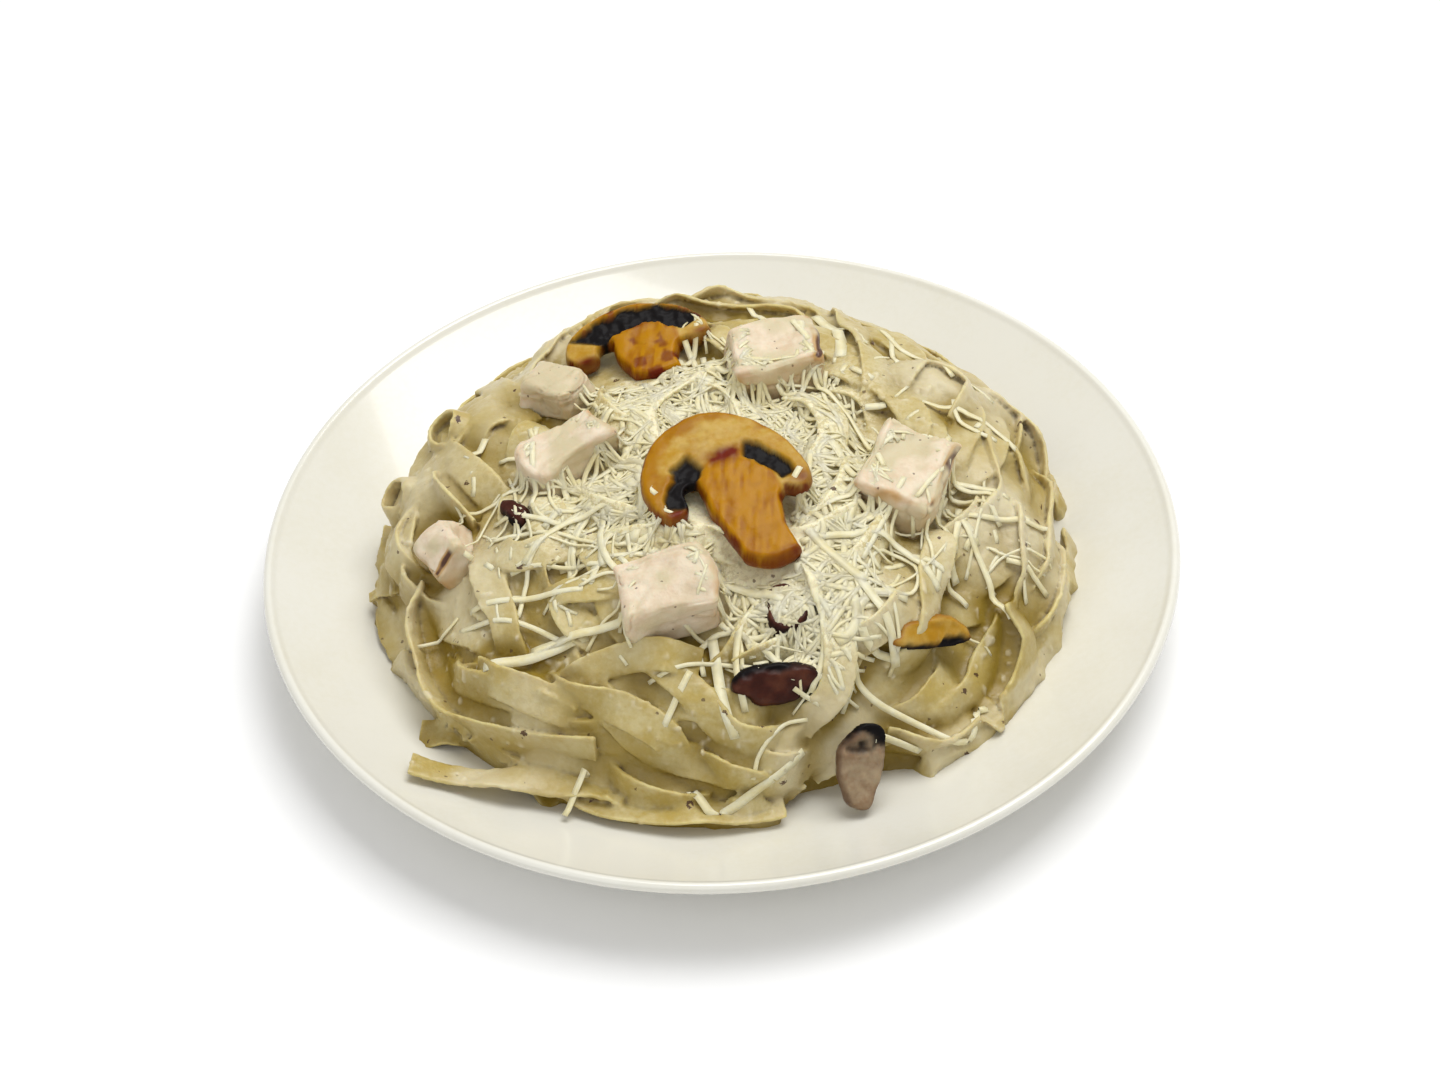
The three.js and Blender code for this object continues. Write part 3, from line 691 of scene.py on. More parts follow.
@dataclass(frozen=True)
class GlazeFinish:
    """Warm white glaze on the plate, unglazed under its foot."""

    white: Colour = (229, 227, 216)
    shade: Colour = (225, 222, 207)
    bisque: Colour = (214, 205, 190)

    def make(self, effects: SharedEffects) -> Material:
        """Build the material."""
        made = Finish("plate_glaze", effects, Roughness=0.2, Coat_Weight=0.35, Coat_Roughness=0.06, IOR=1.5)
        foot = made.nodes.attribute("foot")
        tone, _ = made.mottle(self.white, self.shade, 60.0, 0.56)
        made.colour(made.nodes.mix(foot, tone, self.bisque))
        made.roughness(foot, 0.2, 0.75)
        made.grain(6.0, 38.0, 0.05, 0.5)
        return made.material


@dataclass(frozen=True)
class PastaFinish:
    """Ribbon pasta coated in cream, grey-beige, with painted shade where it lies deep (dark olive-yellow) and
    in its grooves (near black-brown), and a painted highlight on its edges.
    """

    cream: Colour = (212, 202, 172)
    thin: Colour = (200, 186, 136)
    pasta: Colour = (180, 158, 86)
    # Painted highlight: pale yellow laid on convex edges of the ribbons.
    edge: Colour = (222, 210, 146)
    # Painted shade: dark olive-yellow laid where the surface lies deep in the heap.
    deep: Colour = (146, 122, 44)
    # Painted shade: near black-brown laid in the grooves, weaker under cheese.
    groove_shade: Colour = (74, 50, 20)
    speck: Colour = (92, 68, 40)
    scrap: Colour = (70, 36, 20)
    cheese: Colour = (234, 226, 190)

    def make(self, effects: SharedEffects) -> Material:
        """Build the material."""
        made = Finish("coated_pasta", effects, Subsurface_Weight=0.3, Subsurface_Radius=(1.0, 0.75, 0.35),
                      Subsurface_Scale=0.0022, Coat_Weight=0.1, Coat_Roughness=0.24, Specular_IOR_Level=0.32)
        nodes = made.nodes
        tone, mask = made.mottle(self.thin, self.pasta, 13.0, 0.47)
        coated = nodes.mix(nodes.times(nodes.attribute("coat"), 0.8), tone, self.cream)
        # Painted shade: dark olive where the surface lies 1 to 6.5 mm under the smoothed tops.
        colour = nodes.mix(nodes.ramp(nodes.attribute("depth"), 1.0, 6.5), coated, self.deep)
        ridge, cheese = nodes.attribute("ridge"), nodes.attribute("cheese")
        # Painted highlight: the pale edge colour on convex ridges, in random patches.
        edge_highlight = nodes.ramp(nodes.noise(nodes.place(), 7.0, 2.0), 0.36, 0.6, 0.1, 0.6)
        colour = nodes.mix(nodes.times(nodes.ramp(ridge, 0.1, 0.45), edge_highlight), colour, self.edge)
        bare = nodes.ramp(cheese, 0.0, 0.9, 1.0, 0.2)
        # Painted shade: near black-brown in concave grooves, weaker under cheese.
        grooves = nodes.times(nodes.ramp(ridge, -0.08, -0.5, 0.0, 0.9), bare)
        colour = nodes.mix(grooves, colour, self.groove_shade)
        colour = nodes.mix(nodes.times(nodes.attribute("crumb"), 0.7), colour, self.cream)
        flakes = nodes.ramp(nodes.noise(nodes.place(), 1.6, 3.0, 0.7), 0.42, 0.56)
        melted = nodes.times(cheese, nodes.math("ADD", flakes, 0.55), clamp=True)
        colour = nodes.mix(melted, colour, self.cheese)
        colour = made.specked(colour, 4.5, 0.11, 0.75, self.speck)
        made.colour(made.specked(colour, 11.0, 0.1, 0.9, self.scrap))
        made.roughness(mask, 0.48, 0.34)
        made.grain(0.9, 3.0, 0.4, 0.8)
        return made.material


@dataclass(frozen=True)
class CheeseFinish:
    """Shreds of hard cheese, pale and slightly translucent."""

    pale: Colour = (234, 227, 193)
    deep: Colour = (225, 213, 167)

    def make(self, effects: SharedEffects) -> Material:
        """Build the material."""
        made = Finish("cheese_shred", effects, Subsurface_Weight=0.35, Subsurface_Radius=(1.0, 0.9, 0.6),
                      Subsurface_Scale=0.0012, IOR=1.42)
        tone, mask = made.mottle(self.pale, self.deep, 7.0, 0.5)
        made.colour(tone)
        made.roughness(mask, 0.5, 0.38)
        made.grain(0.5, 2.0, 0.12, 0.6)
        return made.material


@dataclass(frozen=True)
class ChickenFinish:
    """Fried chicken breast: pale pink-beige meat with browned rims and smears of sauce."""

    meat: Colour = (224, 208, 182)
    fibre: Colour = (210, 188, 156)
    sear: Colour = (186, 148, 92)
    burnt: Colour = (84, 48, 26)
    sauce: Colour = (204, 190, 154)

    def make(self, effects: SharedEffects) -> Material:
        """Build the material."""
        made = Finish("chicken", effects, Subsurface_Weight=0.35, Subsurface_Radius=(1.0, 0.55, 0.4),
                      Subsurface_Scale=0.003, Coat_Weight=0.12, Coat_Roughness=0.3, IOR=1.42)
        nodes = made.nodes
        sear = nodes.attribute("sear")
        tone, _ = made.mottle(self.meat, self.fibre, 6.0, 0.54)
        colour = nodes.mix(nodes.ramp(sear, 0.25, 0.75), tone, self.sear)
        colour = nodes.mix(nodes.ramp(sear, 0.8, 1.15), colour, self.burnt)
        colour = nodes.mix(nodes.attribute("coated"), colour, self.sauce)
        made.colour(made.specked(colour, 3.6, 0.1, 0.7, self.burnt))
        made.roughness(sear, 0.5, 0.36)
        made.grain(0.7, 2.6, 0.3, 0.8)
        return made.material


@dataclass(frozen=True)
class MushroomFinish:
    """Fried mushroom: golden flesh, brown skin, dark gills and a streaked stem, wet with fat."""

    name: str = "fried_mushroom"
    flesh: Colour = (192, 160, 84)
    golden: Colour = (176, 132, 34)
    amber: Colour = (174, 120, 0)
    streak: Colour = (136, 74, 2)
    skin: Colour = (164, 112, 4)
    gill: Colour = (12, 8, 9)
    rim: Colour = (104, 30, 10)

    def make(self, effects: SharedEffects) -> Material:
        """Build the material."""
        made = Finish(self.name, effects, Subsurface_Weight=0.2, Subsurface_Radius=(1.0, 0.5, 0.2),
                      Subsurface_Scale=0.002, Coat_Weight=0.04, Coat_Roughness=0.16, Specular_IOR_Level=0.1)
        nodes = made.nodes
        colour, _ = made.mottle(self.flesh, self.golden, 8.0, 0.5)
        streaks = nodes.times(nodes.ramp(nodes.attribute("streak"), 0.3, 0.8),
                              nodes.ramp(nodes.noise(nodes.place(), 9.0, 2.0), 0.4, 0.62, 0.15, 0.6))
        stem = nodes.mix(streaks, self.amber, self.streak)
        gill = nodes.attribute("gill")
        for name, over in (("stem", stem), ("skin", self.skin), ("rim", self.rim)):
            colour = nodes.mix(nodes.attribute(name), colour, over)
        made.colour(nodes.mix(gill, colour, self.gill))
        made.roughness(gill, 0.3, 0.55)
        made.grain(0.6, 3.0, 0.2, 0.7)
        return made.material


@dataclass(frozen=True)
class FloorFinish:
    """The plain white ground and backdrop."""

    white: Colour = (250, 250, 250)

    def make(self) -> Material:
        """Build the material."""
        made = Finish("white_ground", None, Roughness=0.9)
        made.colour(linear(*self.white))
        return made.material


# ---- ribbons

# Ribbons that show best, each laid over the ones before: tilt, shown end, course of [bearing, distance].
RIBBONS = (
    ((0, 0), End.NONE, ((224, 71), (228, 65), (239, 57), (252, 41))),
    ((10, 10), End.NONE, ((160, 92), (180, 68), (193, 61))),
    ((25, 35), End.NONE, ((175, 83), (188, 74), (197, 72), (204, 84))),
    ((15, 15), End.NONE, ((184, 64), (201, 67), (212, 65), (219, 52))),
    ((0, 10), End.NONE, ((145, 86), (154, 61), (160, 46))),
    ((15, 15), End.NONE, ((154, 99), (141, 104), (127, 104), (113, 100))),
    ((10, 20), End.NONE, ((118, 82), (104, 88), (90, 92), (75, 93))),
    ((15, 15), End.NONE, ((98, 96), (82, 100), (66, 100), (50, 96))),
    ((10, 10), End.NONE, ((74, 86), (58, 94), (44, 101), (30, 104))),
    ((5, 15), End.NONE, ((138, 74), (126, 80), (112, 90), (102, 101))),
    ((60, 60), End.NONE, ((169, 78), (167, 83), (162, 84), (159, 79), (161, 73), (166, 73), (169, 78))),
    ((55, 60), End.NONE, ((180, 91), (178, 97), (174, 98), (171, 93), (173, 87), (177, 86), (180, 91))),
    ((20, 5), End.NONE, ((95, 74), (84, 80), (70, 82), (58, 76))),
    ((10, 20), End.NONE, ((62, 84), (50, 66), (36, 56), (18, 48))),
    ((30, 40), End.NONE, ((24, 54), (30, 68), (20, 76), (8, 68))),
    ((25, 10), End.NONE, ((26, 82), (17, 90), (8, 97), (357, 101))),
    ((10, 30), End.NONE, ((352, 84), (340, 88), (331, 96))),
    ((30, 15), End.NONE, ((3, 95), (348, 95), (336, 98))),
    ((0, 20), End.NONE, ((352, 103), (341, 104), (329, 108))),
    ((15, 15), End.NONE, ((331, 104), (325, 112), (315, 116))),
    ((15, 30), End.NONE, ((238, 87), (245, 78), (254, 73), (264, 74))),
    ((10, 10), End.NONE, ((235, 88), (250, 87), (259, 93), (260, 101))),
    ((15, 25), End.NONE, ((214, 100), (222, 96), (232, 92), (242, 92))),
    ((30, 5), End.NONE, ((222, 93), (235, 90), (246, 92))),
    ((35, 10), End.NONE, ((295, 50), (293, 69), (289, 83), (281, 93))),
    ((15, 30), End.NONE, ((311, 90), (305, 93), (298, 100), (292, 106))),
    ((20, 20), End.NONE, ((264, 99), (273, 104), (279, 112))),
    ((0, 15), End.NONE, ((270, 98), (278, 101), (287, 106))),
    ((40, 25), End.NONE, ((329, 92), (325, 104), (316, 112), (305, 110), (296, 104))),
    ((62, 8), End.STOP, ((197, 92), (205, 100), (214, 104), (223, 105), (234, 102), (247, 98))),
    ((20, 20), End.NONE, ((191, 98), (186, 111), (190, 118), (198, 117), (206, 111))),
    ((10, 20), End.NONE, ((246, 106), (256, 108), (265, 112))),
    ((20, 0), End.BOTH, ((236, 121), (248, 120), (256, 121), (264, 121), (277, 118))),
    ((8, 4), End.BOTH, ((224, 142), (229, 134), (236, 127), (243, 121), (252, 116))),
)


@dataclass
class StripSizes:
    """Sizes of one kind of strip.

    Attributes:
        thickness: Height of its section.
        step: Distance between stations.
        sides: Points round its section.
        square: How square the section is; 2 is an ellipse.
        sag: Drop of a bridge over 10 mm.
        sink: How deep it is pressed into what lies under it.
        tuck: How deep a tucked end goes.
        pile: Height over the bare heap that its own weight presses it towards; 0 for none.
    """

    thickness: float
    step: float
    sides: int
    square: float
    sag: float
    sink: float
    tuck: float
    pile: float = 0.0


class StripLayer:
    """Lays strips over a relief, one on another, and gathers their meshes.

    Attributes:
        BRIDGES: Half lengths of the bridges that a strip may form, in stations.
        SUPPORT: Half of the share of its width that rests on what lies below.
        STEEPEST: Its steepest slope to a side.
        STANDING: Leans in radians between which it comes to stand on its edge instead of rising.
        SWAY: Height in radians and length of a ribbon's slow roll.
        WAISTS: Height and length of the two waves of its width.
        RUFFLES: Lengths of the waves along its two edges.
        CUP: Depth in widths, neutral place and length of the hollow across it.
        NOTED: Distance between the points at which a laid strip raises the relief.
    """

    BRIDGES = (12, 8, 5, 3, 2, 1)
    SUPPORT = 0.45
    STEEPEST = 0.5
    STANDING = (0.75, 1.3)
    SWAY = (0.12, 13)
    WAISTS = ((0.05, 9), (0.03, 4.3))
    RUFFLES = (4.6, 5.3)
    CUP = (0.06, 0.4, 21)
    NOTED = 0.7

    def __init__(self, surface: HeapSurface, relief: Relief, sizes: StripSizes, seed: int,
                 ground: Relief | None = None) -> None:
        """Work on a relief.

        Args:
            surface: The bare heap.
            relief: What lies on it; raised as strips are laid.
            sizes: The kind of strip.
            seed: Start of the random draws.
            ground: What the strips are pressed towards; the heap's swells if left out.
        """
        self.surface, self.relief, self.sizes, self.ground = surface, relief, sizes, ground
        self.random = np.random.default_rng(seed)
        self.builder = MeshBuilder()
        self.count = 0

    def settle(self, stations: Array, across: Array, width: float) -> tuple[Array, Array]:
        """Lifts and side slopes of a strip that rests on the highest points under it and bridges gaps."""
        shares = np.linspace(-self.SUPPORT, self.SUPPORT, 7) * width
        under = self.relief.at(stations[:, None] + shares[:, None] * across[:, None])
        slopes = (under[:, -1] - under[:, 0]) / (2 * self.SUPPORT * width)
        slopes = blur(np.clip(slopes, -self.STEEPEST, self.STEEPEST), 8)
        lifts = (under - slopes[:, None] * shares).max(axis=1)
        for _ in range(3):
            for reach in self.BRIDGES:
                if 2 * reach >= len(lifts):
                    continue
                sag = self.sizes.sag * (reach * self.sizes.step / 10) ** 2
                bridge = (lifts[:-2 * reach] + lifts[2 * reach:]) / 2 - sag
                lifts[reach:-reach] = np.maximum(lifts[reach:-reach], bridge)
        return blur(lifts, 3), slopes

    def pressed(self, course: Array, lifts: Array) -> Array:
        """Lifts of a strip that its weight presses towards the ground."""
        bare, pile = self.ground.at(course) if self.ground else swell(course), self.sizes.pile
        return bare + np.where(lifts > bare, pile * (1 - np.exp((bare - lifts) / pile)), lifts - bare)

    def tucked(self, walked: Array, end: End) -> Array:
        """Depth at each station to which the ends that don't show are tucked in."""
        fade = 10.0 if self.sizes.tuck > 2 else 3.0
        start_in, stop_in = 1 - smoothstep(walked, 0, fade), 1 - smoothstep(walked[-1] - walked, 0, fade)
        return self.sizes.tuck * ((0 if end.value[0] else start_in) + (0 if end.value[1] else stop_in))

    def section(self, walked: Array, width: float, ruffle: float, outward: int,
                phases: Array) -> tuple[Array, Array]:
        """Offsets of the section's points at each station: across the strip, and square to it."""
        sizes, (phase, other) = self.sizes, phases
        turn = np.linspace(0, 2 * math.pi, sizes.sides, endpoint=False) + math.pi / sizes.sides
        flat_u, flat_v = (np.sign(part) * np.abs(part) ** (2 / sizes.square)
                          for part in (np.cos(turn), np.sin(turn)))
        (first, first_length), (second, second_length) = self.WAISTS
        breadth = width * (1 + first * np.sin(walked / first_length + other)
                           + second * np.sin(walked / second_length + phase))
        waves = ruffle * (np.sin(walked / self.RUFFLES[0] + phase)[:, None] * (flat_u > 0)
                          + np.sin(walked / self.RUFFLES[1] + other)[:, None] * (flat_u < 0)) * flat_u ** 2
        hollow, neutral, length = self.CUP
        share = (0.5 + 0.5 * np.sin(walked / length + other))[:, None]
        cup = -hollow * width * (flat_u ** 2 - neutral) * outward * share
        return flat_u * breadth[:, None] / 2, flat_v * sizes.thickness / 2 + waves + (cup if ruffle else 0)

    def note(self, course: Array, across: Array, width: float, lean: Array, tops: Array) -> None:
        """Raise the relief to the tops of a strip."""
        count = len(course)
        fine = np.linspace(0, count - 1, (count - 1) * 4 + 1)

        def finer(row: Array) -> Array:
            """Values between the stations, four to each."""
            return np.interp(fine, np.arange(count), row)

        places, sides = (np.stack([finer(row) for row in rows.T], axis=1) for rows in (course, across))
        shares = np.arange(-width / 2, width / 2 + 0.01, self.NOTED)
        spread = (shares * finer(np.cos(lean))[:, None])[..., None] * sides[:, None]
        heights = np.broadcast_to(finer(tops)[:, None], spread.shape[:2])
        self.relief.raise_to(places[:, None] + spread, heights)

    def lay(self, course: Array, width: float, tilt: Pair = (0.0, 0.0), end: End = End.NONE,
            ruffle: float = 0.0) -> None:
        """Lay a strip along a course.

        Args:
            course: Stations on the unrolled heap, one row of two each.
            width: Width of the strip.
            tilt: Degrees that it tips outwards at its start and at its end.
            end: Which ends show.
            ruffle: Height of the waves along its edges.
        """
        sizes, count = self.sizes, len(course)
        ahead = unit(np.gradient(course, axis=0))
        across = np.stack([ahead[:, 1], -ahead[:, 0]], axis=1)
        lean = np.radians(np.interp(np.linspace(0, 1, count), (0, 1), tilt))
        lifts, slopes = self.settle(course, across, width * float(np.cos(lean).mean()))
        if sizes.pile:
            lifts = self.pressed(course, lifts)
        walked = np.arange(count) * sizes.step
        rise = np.sin(lean) * width / 2 * (1 - smoothstep(lean, *self.STANDING))
        level = lifts + rise - self.tucked(walked, end)
        points, normals = self.surface.over(course, level + sizes.thickness / 2 - sizes.sink)
        left, right = (self.surface.over(course + side * across, level)[0] for side in (-1, 1))
        right = unit(right - left)
        middle = count // 2
        outward = -1 if course[middle] @ across[middle] > 0 else 1
        phases = self.random.uniform(0, 2 * math.pi, 2)
        sway = self.SWAY[0] * np.sin(walked / self.SWAY[1] + phases[0]) if ruffle else np.zeros(count)
        angle = (lean + sway) * outward + np.arctan(slopes)
        wide = right * np.cos(angle)[:, None] + normals * np.sin(angle)[:, None]
        along = unit(np.gradient(points, axis=0))
        wide = unit(wide - along * np.sum(wide * along, axis=1, keepdims=True))
        up = np.cross(along, wide)
        up *= np.sign(np.sum(up * normals, axis=1, keepdims=True))
        offset_u, offset_v = self.section(walked, width, ruffle, outward, phases)
        rings = points[:, None] + wide[:, None] * offset_u[..., None] + up[:, None] * offset_v[..., None]
        handed = np.cross(wide[middle], up[middle]) @ along[middle]
        self.builder.loft(rings if handed > 0 else rings[:, ::-1])
        self.count += 1
        self.note(course, across, width, lean, lifts + sizes.thickness + 1.6 * rise - sizes.sink)


@dataclass
class PastaHeap:
    """The heap of ribbon pasta: seeded ribbons in its depth and the named ones over them.

    Attributes:
        width: Width of a ribbon.
        depth: How far under the heap's swells the first ribbons lie.
        fillers: Number of seeded ribbons tried.
        pile: Lift over the swells from which the heap needs no more seeded ribbons.
        shortest: Fewest stations of a ribbon.
        lengths: Least and greatest length of a seeded ribbon.
        ring: Least distance of its middle, and what may be added.
        spread: Degrees, and share of that distance squared, from one seeded ribbon to the next.
        seed: Start of the random draws.
        sizes: The kind of strip.
    """

    width: float = 9.6
    depth: float = 7.0
    fillers: int = 620
    pile: float = -2.6
    shortest: int = 9
    lengths: Pair = (50.0, 95.0)
    ring: Pair = (12.0, 92.0)
    spread: Pair = (137.5, 0.755)
    seed: int = 20417
    sizes: StripSizes = field(default_factory=lambda: StripSizes(
        thickness=1.6, step=2.2, sides=12, square=5.0, sag=1.7, sink=0.3, tuck=4.0, pile=6.0))

    def filler_course(self, index: int, draw: np.random.Generator) -> Array:
        """A seeded arc round the heap, bent more tightly than the heap's own edge."""
        bearing = index * self.spread[0] + draw.uniform(-10, 10)
        distance = self.ring[0] + self.ring[1] * math.sqrt((index * self.spread[1]) % 1)
        length = draw.uniform(*self.lengths)
        turn = -1 if draw.random() < 0.5 else 1
        heading = math.radians(bearing + turn * 90 + draw.uniform(-40, 40))
        bend = turn / max(distance * draw.uniform(0.6, 1.2), 20)
        walked = np.linspace(-0.5, 0.5, 7) * length
        angle = heading + bend * walked / 2 + 0.12 * np.sin(walked / 9 + bearing)
        return spot(bearing, distance) + walked[:, None] * np.stack([np.cos(angle), np.sin(angle)], axis=1)

    def lay(self, surface: HeapSurface, relief: Relief) -> StripLayer:
        """Lay all ribbons on the bare heap's relief."""
        layer = StripLayer(surface, relief, self.sizes, self.seed)
        draw = np.random.default_rng(self.seed + 1)
        filling = [piece.room() for piece in CHICKEN + MUSHROOMS[1:2]]
        every = [piece.room() for piece in CHICKEN + MUSHROOMS]

        def put(course: Array, tilt: Pair, end: End, highest: float) -> None:
            """Lay one ribbon where it clears the toppings and the heap isn't higher yet."""
            rooms, margin = (filling, self.width / 3) if math.isfinite(highest) else (every, self.width / 2)
            stations = clear_run(spline(course, self.sizes.step), rooms, margin)
            if len(stations) < self.shortest:
                return
            if np.percentile(relief.at(stations) - swell(stations), 35) > highest:
                return
            width = self.width * draw.uniform(0.93, 1.04)
            layer.lay(stations, width, tilt, end, ruffle=draw.uniform(0.1, 0.55))

        for index in range(self.fillers):
            put(self.filler_course(index, draw), tuple(draw.uniform(0, 26, 2)), End.NONE, self.pile)
        for tilt, end, course in RIBBONS:
            put(np.array([spot(*place) for place in course]), tilt, end, math.inf)
        log.info("%d ribbons", layer.count)
        return layer


def clear_run(stations: Array, rooms: list[tuple[Array, float]], margin: float) -> Array:
    """The longest run of stations that stays clear of every topping's room."""
    clear = np.ones(len(stations), bool)
    for middle, reach in rooms:
        clear &= np.linalg.norm(stations - middle, axis=1) > reach + margin
    edges = np.flatnonzero(np.diff(np.concatenate([[False], clear, [False]]).astype(int)))
    runs = [(stop - start, start) for start, stop in zip(edges[::2], edges[1::2])]
    if not runs:
        return stations[:0]
    length, start = max(runs)
    return stations[start:start + length]


# ---- looking down at what is built


class Caster:
    """Measures how high meshes stand over places of the unrolled heap, by rays square to it."""

    def __init__(self, pieces: list[Piece]) -> None:
        """Gather the pieces' faces."""
        points, faces, count = [], [], 0
        for piece in pieces:
            mesh = piece.data
            corners = np.empty(len(mesh.loops), np.int32)
            mesh.loops.foreach_get("vertex_index", corners)
            starts = np.empty(len(mesh.polygons), np.int32)
            mesh.polygons.foreach_get("loop_start", starts)
            points.append(corner_array(mesh))
            faces += [list(map(int, part + count)) for part in np.split(corners, starts[1:])]
            count += len(mesh.vertices)
        self.tree = BVHTree.FromPolygons([Vector(point) for point in np.concatenate(points)], faces)

    def lifts(self, surface: HeapSurface, places: Array, start: float, missed: Array) -> Array:
        """Lift of the first hit under each place by rays from a start lift; missed where none hits."""
        origins, normals = surface.over(places, start)
        found = missed.copy()
        for index, (origin, normal) in enumerate(zip(origins, normals)):
            hit = self.tree.ray_cast(Vector(origin), Vector(-normal), start + 6)
            if hit[0] is not None:
                found[index] = start - hit[3]
        return found


# ---- sauce


def widest(values: Array, reach: int) -> Array:
    """Highest value within a round window of each cell of a grid."""
    size = values.shape[0]
    padded = np.pad(values, reach, mode="edge")
    best = values.copy()
    for row, column in product(range(-reach, reach + 1), repeat=2):
        if row * row + column * column <= reach * reach + 1:
            moved = padded[reach + row:reach + row + size, reach + column:reach + column + size]
            best = np.maximum(best, moved)
    return best


def blur_grid(values: Array, passes: int) -> Array:
    """Average a grid with its neighbours both ways, a number of times."""
    for _ in range(passes):
        values = blur(blur(values, 1).T, 1).T
    return values


# Where sauce covers the ribbons, or leaves them bare if the share is under 0: bearing, distance, spread,
# share.
SAUCE_PATCHES = (
    (250, 88, 26, -1), (306, 94, 17, -1), (342, 78, 21, 1), (20, 80, 16, 1), (205, 84, 20, 0.8),
    (178, 84, 18, 0.7),
)
# Thin sauce that has run on to the plate: bearing, distance, spread.
PUDDLES = ((318, 117, 10), (303, 115, 9), (252, 117, 8), (200, 112, 7))


@dataclass
class CoatedPasta:
    """Ribbons fused by cream sauce, which fills their crevices and coats patches of them.

    Attributes:
        start: How far under the heap's swells the sauce starts.
        bed: How much higher it starts under thick cheese.
        rim: Distances between which it sinks under the plate, and how deep.
        reach: Half width in mm of the crevices that sauce fills.
        wide_reach: Half width of the wider gaps that it fills in part.
        wide_below: How far it stays down in them.
        inset: How far its skin stays in from the edges of what it fills.
        below: How far its skin stays under the ribbons' tops.
        coat: Height of the patches over them.
        melt: Height that thick cheese adds to its skin.
        puddle: Height of the sauce on the plate.
        edge: Distance at which its skin ends.
        voxel: Size of the cells in which all is fused.
        smoothing: Passes that soften its edges.
        spokes: Corners round each ring of the sauce's skin.
        triangles: Most triangles that the finished body has.
    """

    start: float = 2.0
    bed: float = 2.6
    rim: Triple = (106.0, 112.0, 4.0)
    reach: int = 2
    wide_reach: int = 8
    wide_below: float = 3.3
    inset: int = 1
    below: float = 1.5
    coat: float = 1.2
    melt: float = 1.2
    puddle: float = 0.55
    edge: float = 122.0
    voxel: float = 0.55
    smoothing: int = 1
    spokes: int = 420
    triangles: int = 195_000

    def skin(self, surface: HeapSurface, relief: Relief, caster: Caster) -> Array:
        """Lift of the sauce over each cell of the relief."""
        places, size = relief.places, relief.lift.shape
        distance = np.hypot(places[:, 0], places[:, 1])
        used = distance < FOOD_REACH
        cheese, coat = CheeseShreds().density(places), self.patches(places)
        inner, outer, sunk = self.rim
        base = swell(places) - self.start - sunk * smoothstep(distance, inner, outer) + self.bed * cheese
        base = np.maximum(base, self.puddles(places))
        tops = base.copy()
        tops[used] = caster.lifts(surface, places[used], 24.0, base[used])
        tops = np.maximum(tops, base).reshape(size)
        closed, bridged = (-widest(-widest(tops, reach), reach) for reach in (self.reach, self.wide_reach))
        full = np.maximum(closed, bridged - self.wide_below * (1 - coat).reshape(size))
        filled = np.minimum(blur_grid(-widest(-full, self.inset), 2), full + 0.5)
        lumps = 0.25 * fractal(level_points(places), 6, 3, 11)
        lift = filled - self.below + (self.coat * (coat + lumps) + self.melt * cheese).reshape(size)
        for piece in MUSHROOMS:
            if piece.cut is Cut.PIECE:
                away = np.linalg.norm(places - spot(*piece.at), axis=1).reshape(size)
                free = 0.45 * max(piece.size[:2])
                lift = np.minimum(lift, piece.lift + 0.6 + 5 * smoothstep(away, free, free + 4))
        return np.where(tops > base.reshape(size) + 0.01, lift, np.minimum(lift, filled))

    def puddles(self, places: Array) -> Array:
        """Lift of the thin sauce that has run on to the plate; far under it elsewhere."""
        lift = np.full(len(places), -9.0)
        ragged = 0.35 * fractal(level_points(places), 9, 3, 51)
        for bearing, distance, spread in PUDDLES:
            inside = 1 - np.linalg.norm(places - spot(bearing, distance), axis=1) / spread + ragged
            lift = np.maximum(lift, np.minimum(self.puddle, 3 * inside))
        return lift

    @staticmethod
    def patches(places: Array) -> Array:
        """Where the sauce lies over the ribbons, from 0 to 1: seeded patches, and the named ones."""
        patch = 0.8 * smoothstep(fractal(level_points(places), 26, 3, 5), 0.0, 0.5)
        for bearing, distance, spread, share in SAUCE_PATCHES:
            near = bell(places, spot(bearing, distance), spread)
            patch = np.maximum(patch, share * near) if share > 0 else patch * (1 - near)
        return patch

    def build(self, surface: HeapSurface, relief: Relief, layer: StripLayer) -> Piece:
        """Fuse ribbons and sauce into one soft body that is open where it lies on the plate."""
        ribbons = layer.builder.build("ribbons_bare")
        skin = Relief.of(self.skin(surface, relief, Caster([ribbons])))
        bearings = np.linspace(0, 2 * math.pi, self.spokes, endpoint=False)
        spokes = np.stack([np.cos(bearings), np.sin(bearings)], axis=1)
        rings = [surface.over(spokes * distance, skin.at(spokes * distance))[0]
                 for distance in np.arange(self.edge, 0.9, -1.0)]
        foot = rings[0].copy()
        foot[:, 2] = 0
        layer.builder.loft(np.stack([foot] + rings))
        fused = layer.builder.build("pasta_coated")
        bpy.data.objects.remove(ribbons)
        remesh = fused.modifiers.new("fuse", "REMESH")
        remesh.mode, remesh.voxel_size, remesh.use_smooth_shade = "VOXEL", self.voxel * MM, True
        soften = fused.modifiers.new("soften", "SMOOTH")
        soften.factor, soften.iterations = 0.5, self.smoothing
        applied(fused)
        self._trim(fused)
        self._texture(surface, relief, fused)
        triangles = len(fused.data.loops) - 2 * len(fused.data.polygons)
        thin = fused.modifiers.new("thin", "DECIMATE")
        thin.ratio = min(1.0, self.triangles / triangles)
        applied(fused)
        log.info("pasta has %d faces, from %d", len(fused.data.polygons), triangles)
        return fused

    @staticmethod
    def _trim(piece: Piece) -> None:
        """Drop the faces that lie inside the plate."""
        points = corner_array(piece.data)
        sunk = points[:, 2] < plate_level(np.hypot(points[:, 0], points[:, 1])) - 0.6
        mesh = bmesh.new()
        mesh.from_mesh(piece.data)
        mesh.verts.ensure_lookup_table()
        bmesh.ops.delete(mesh, geom=[mesh.verts[i] for i in np.flatnonzero(sunk)], context="VERTS")
        mesh.to_mesh(piece.data)
        mesh.free()

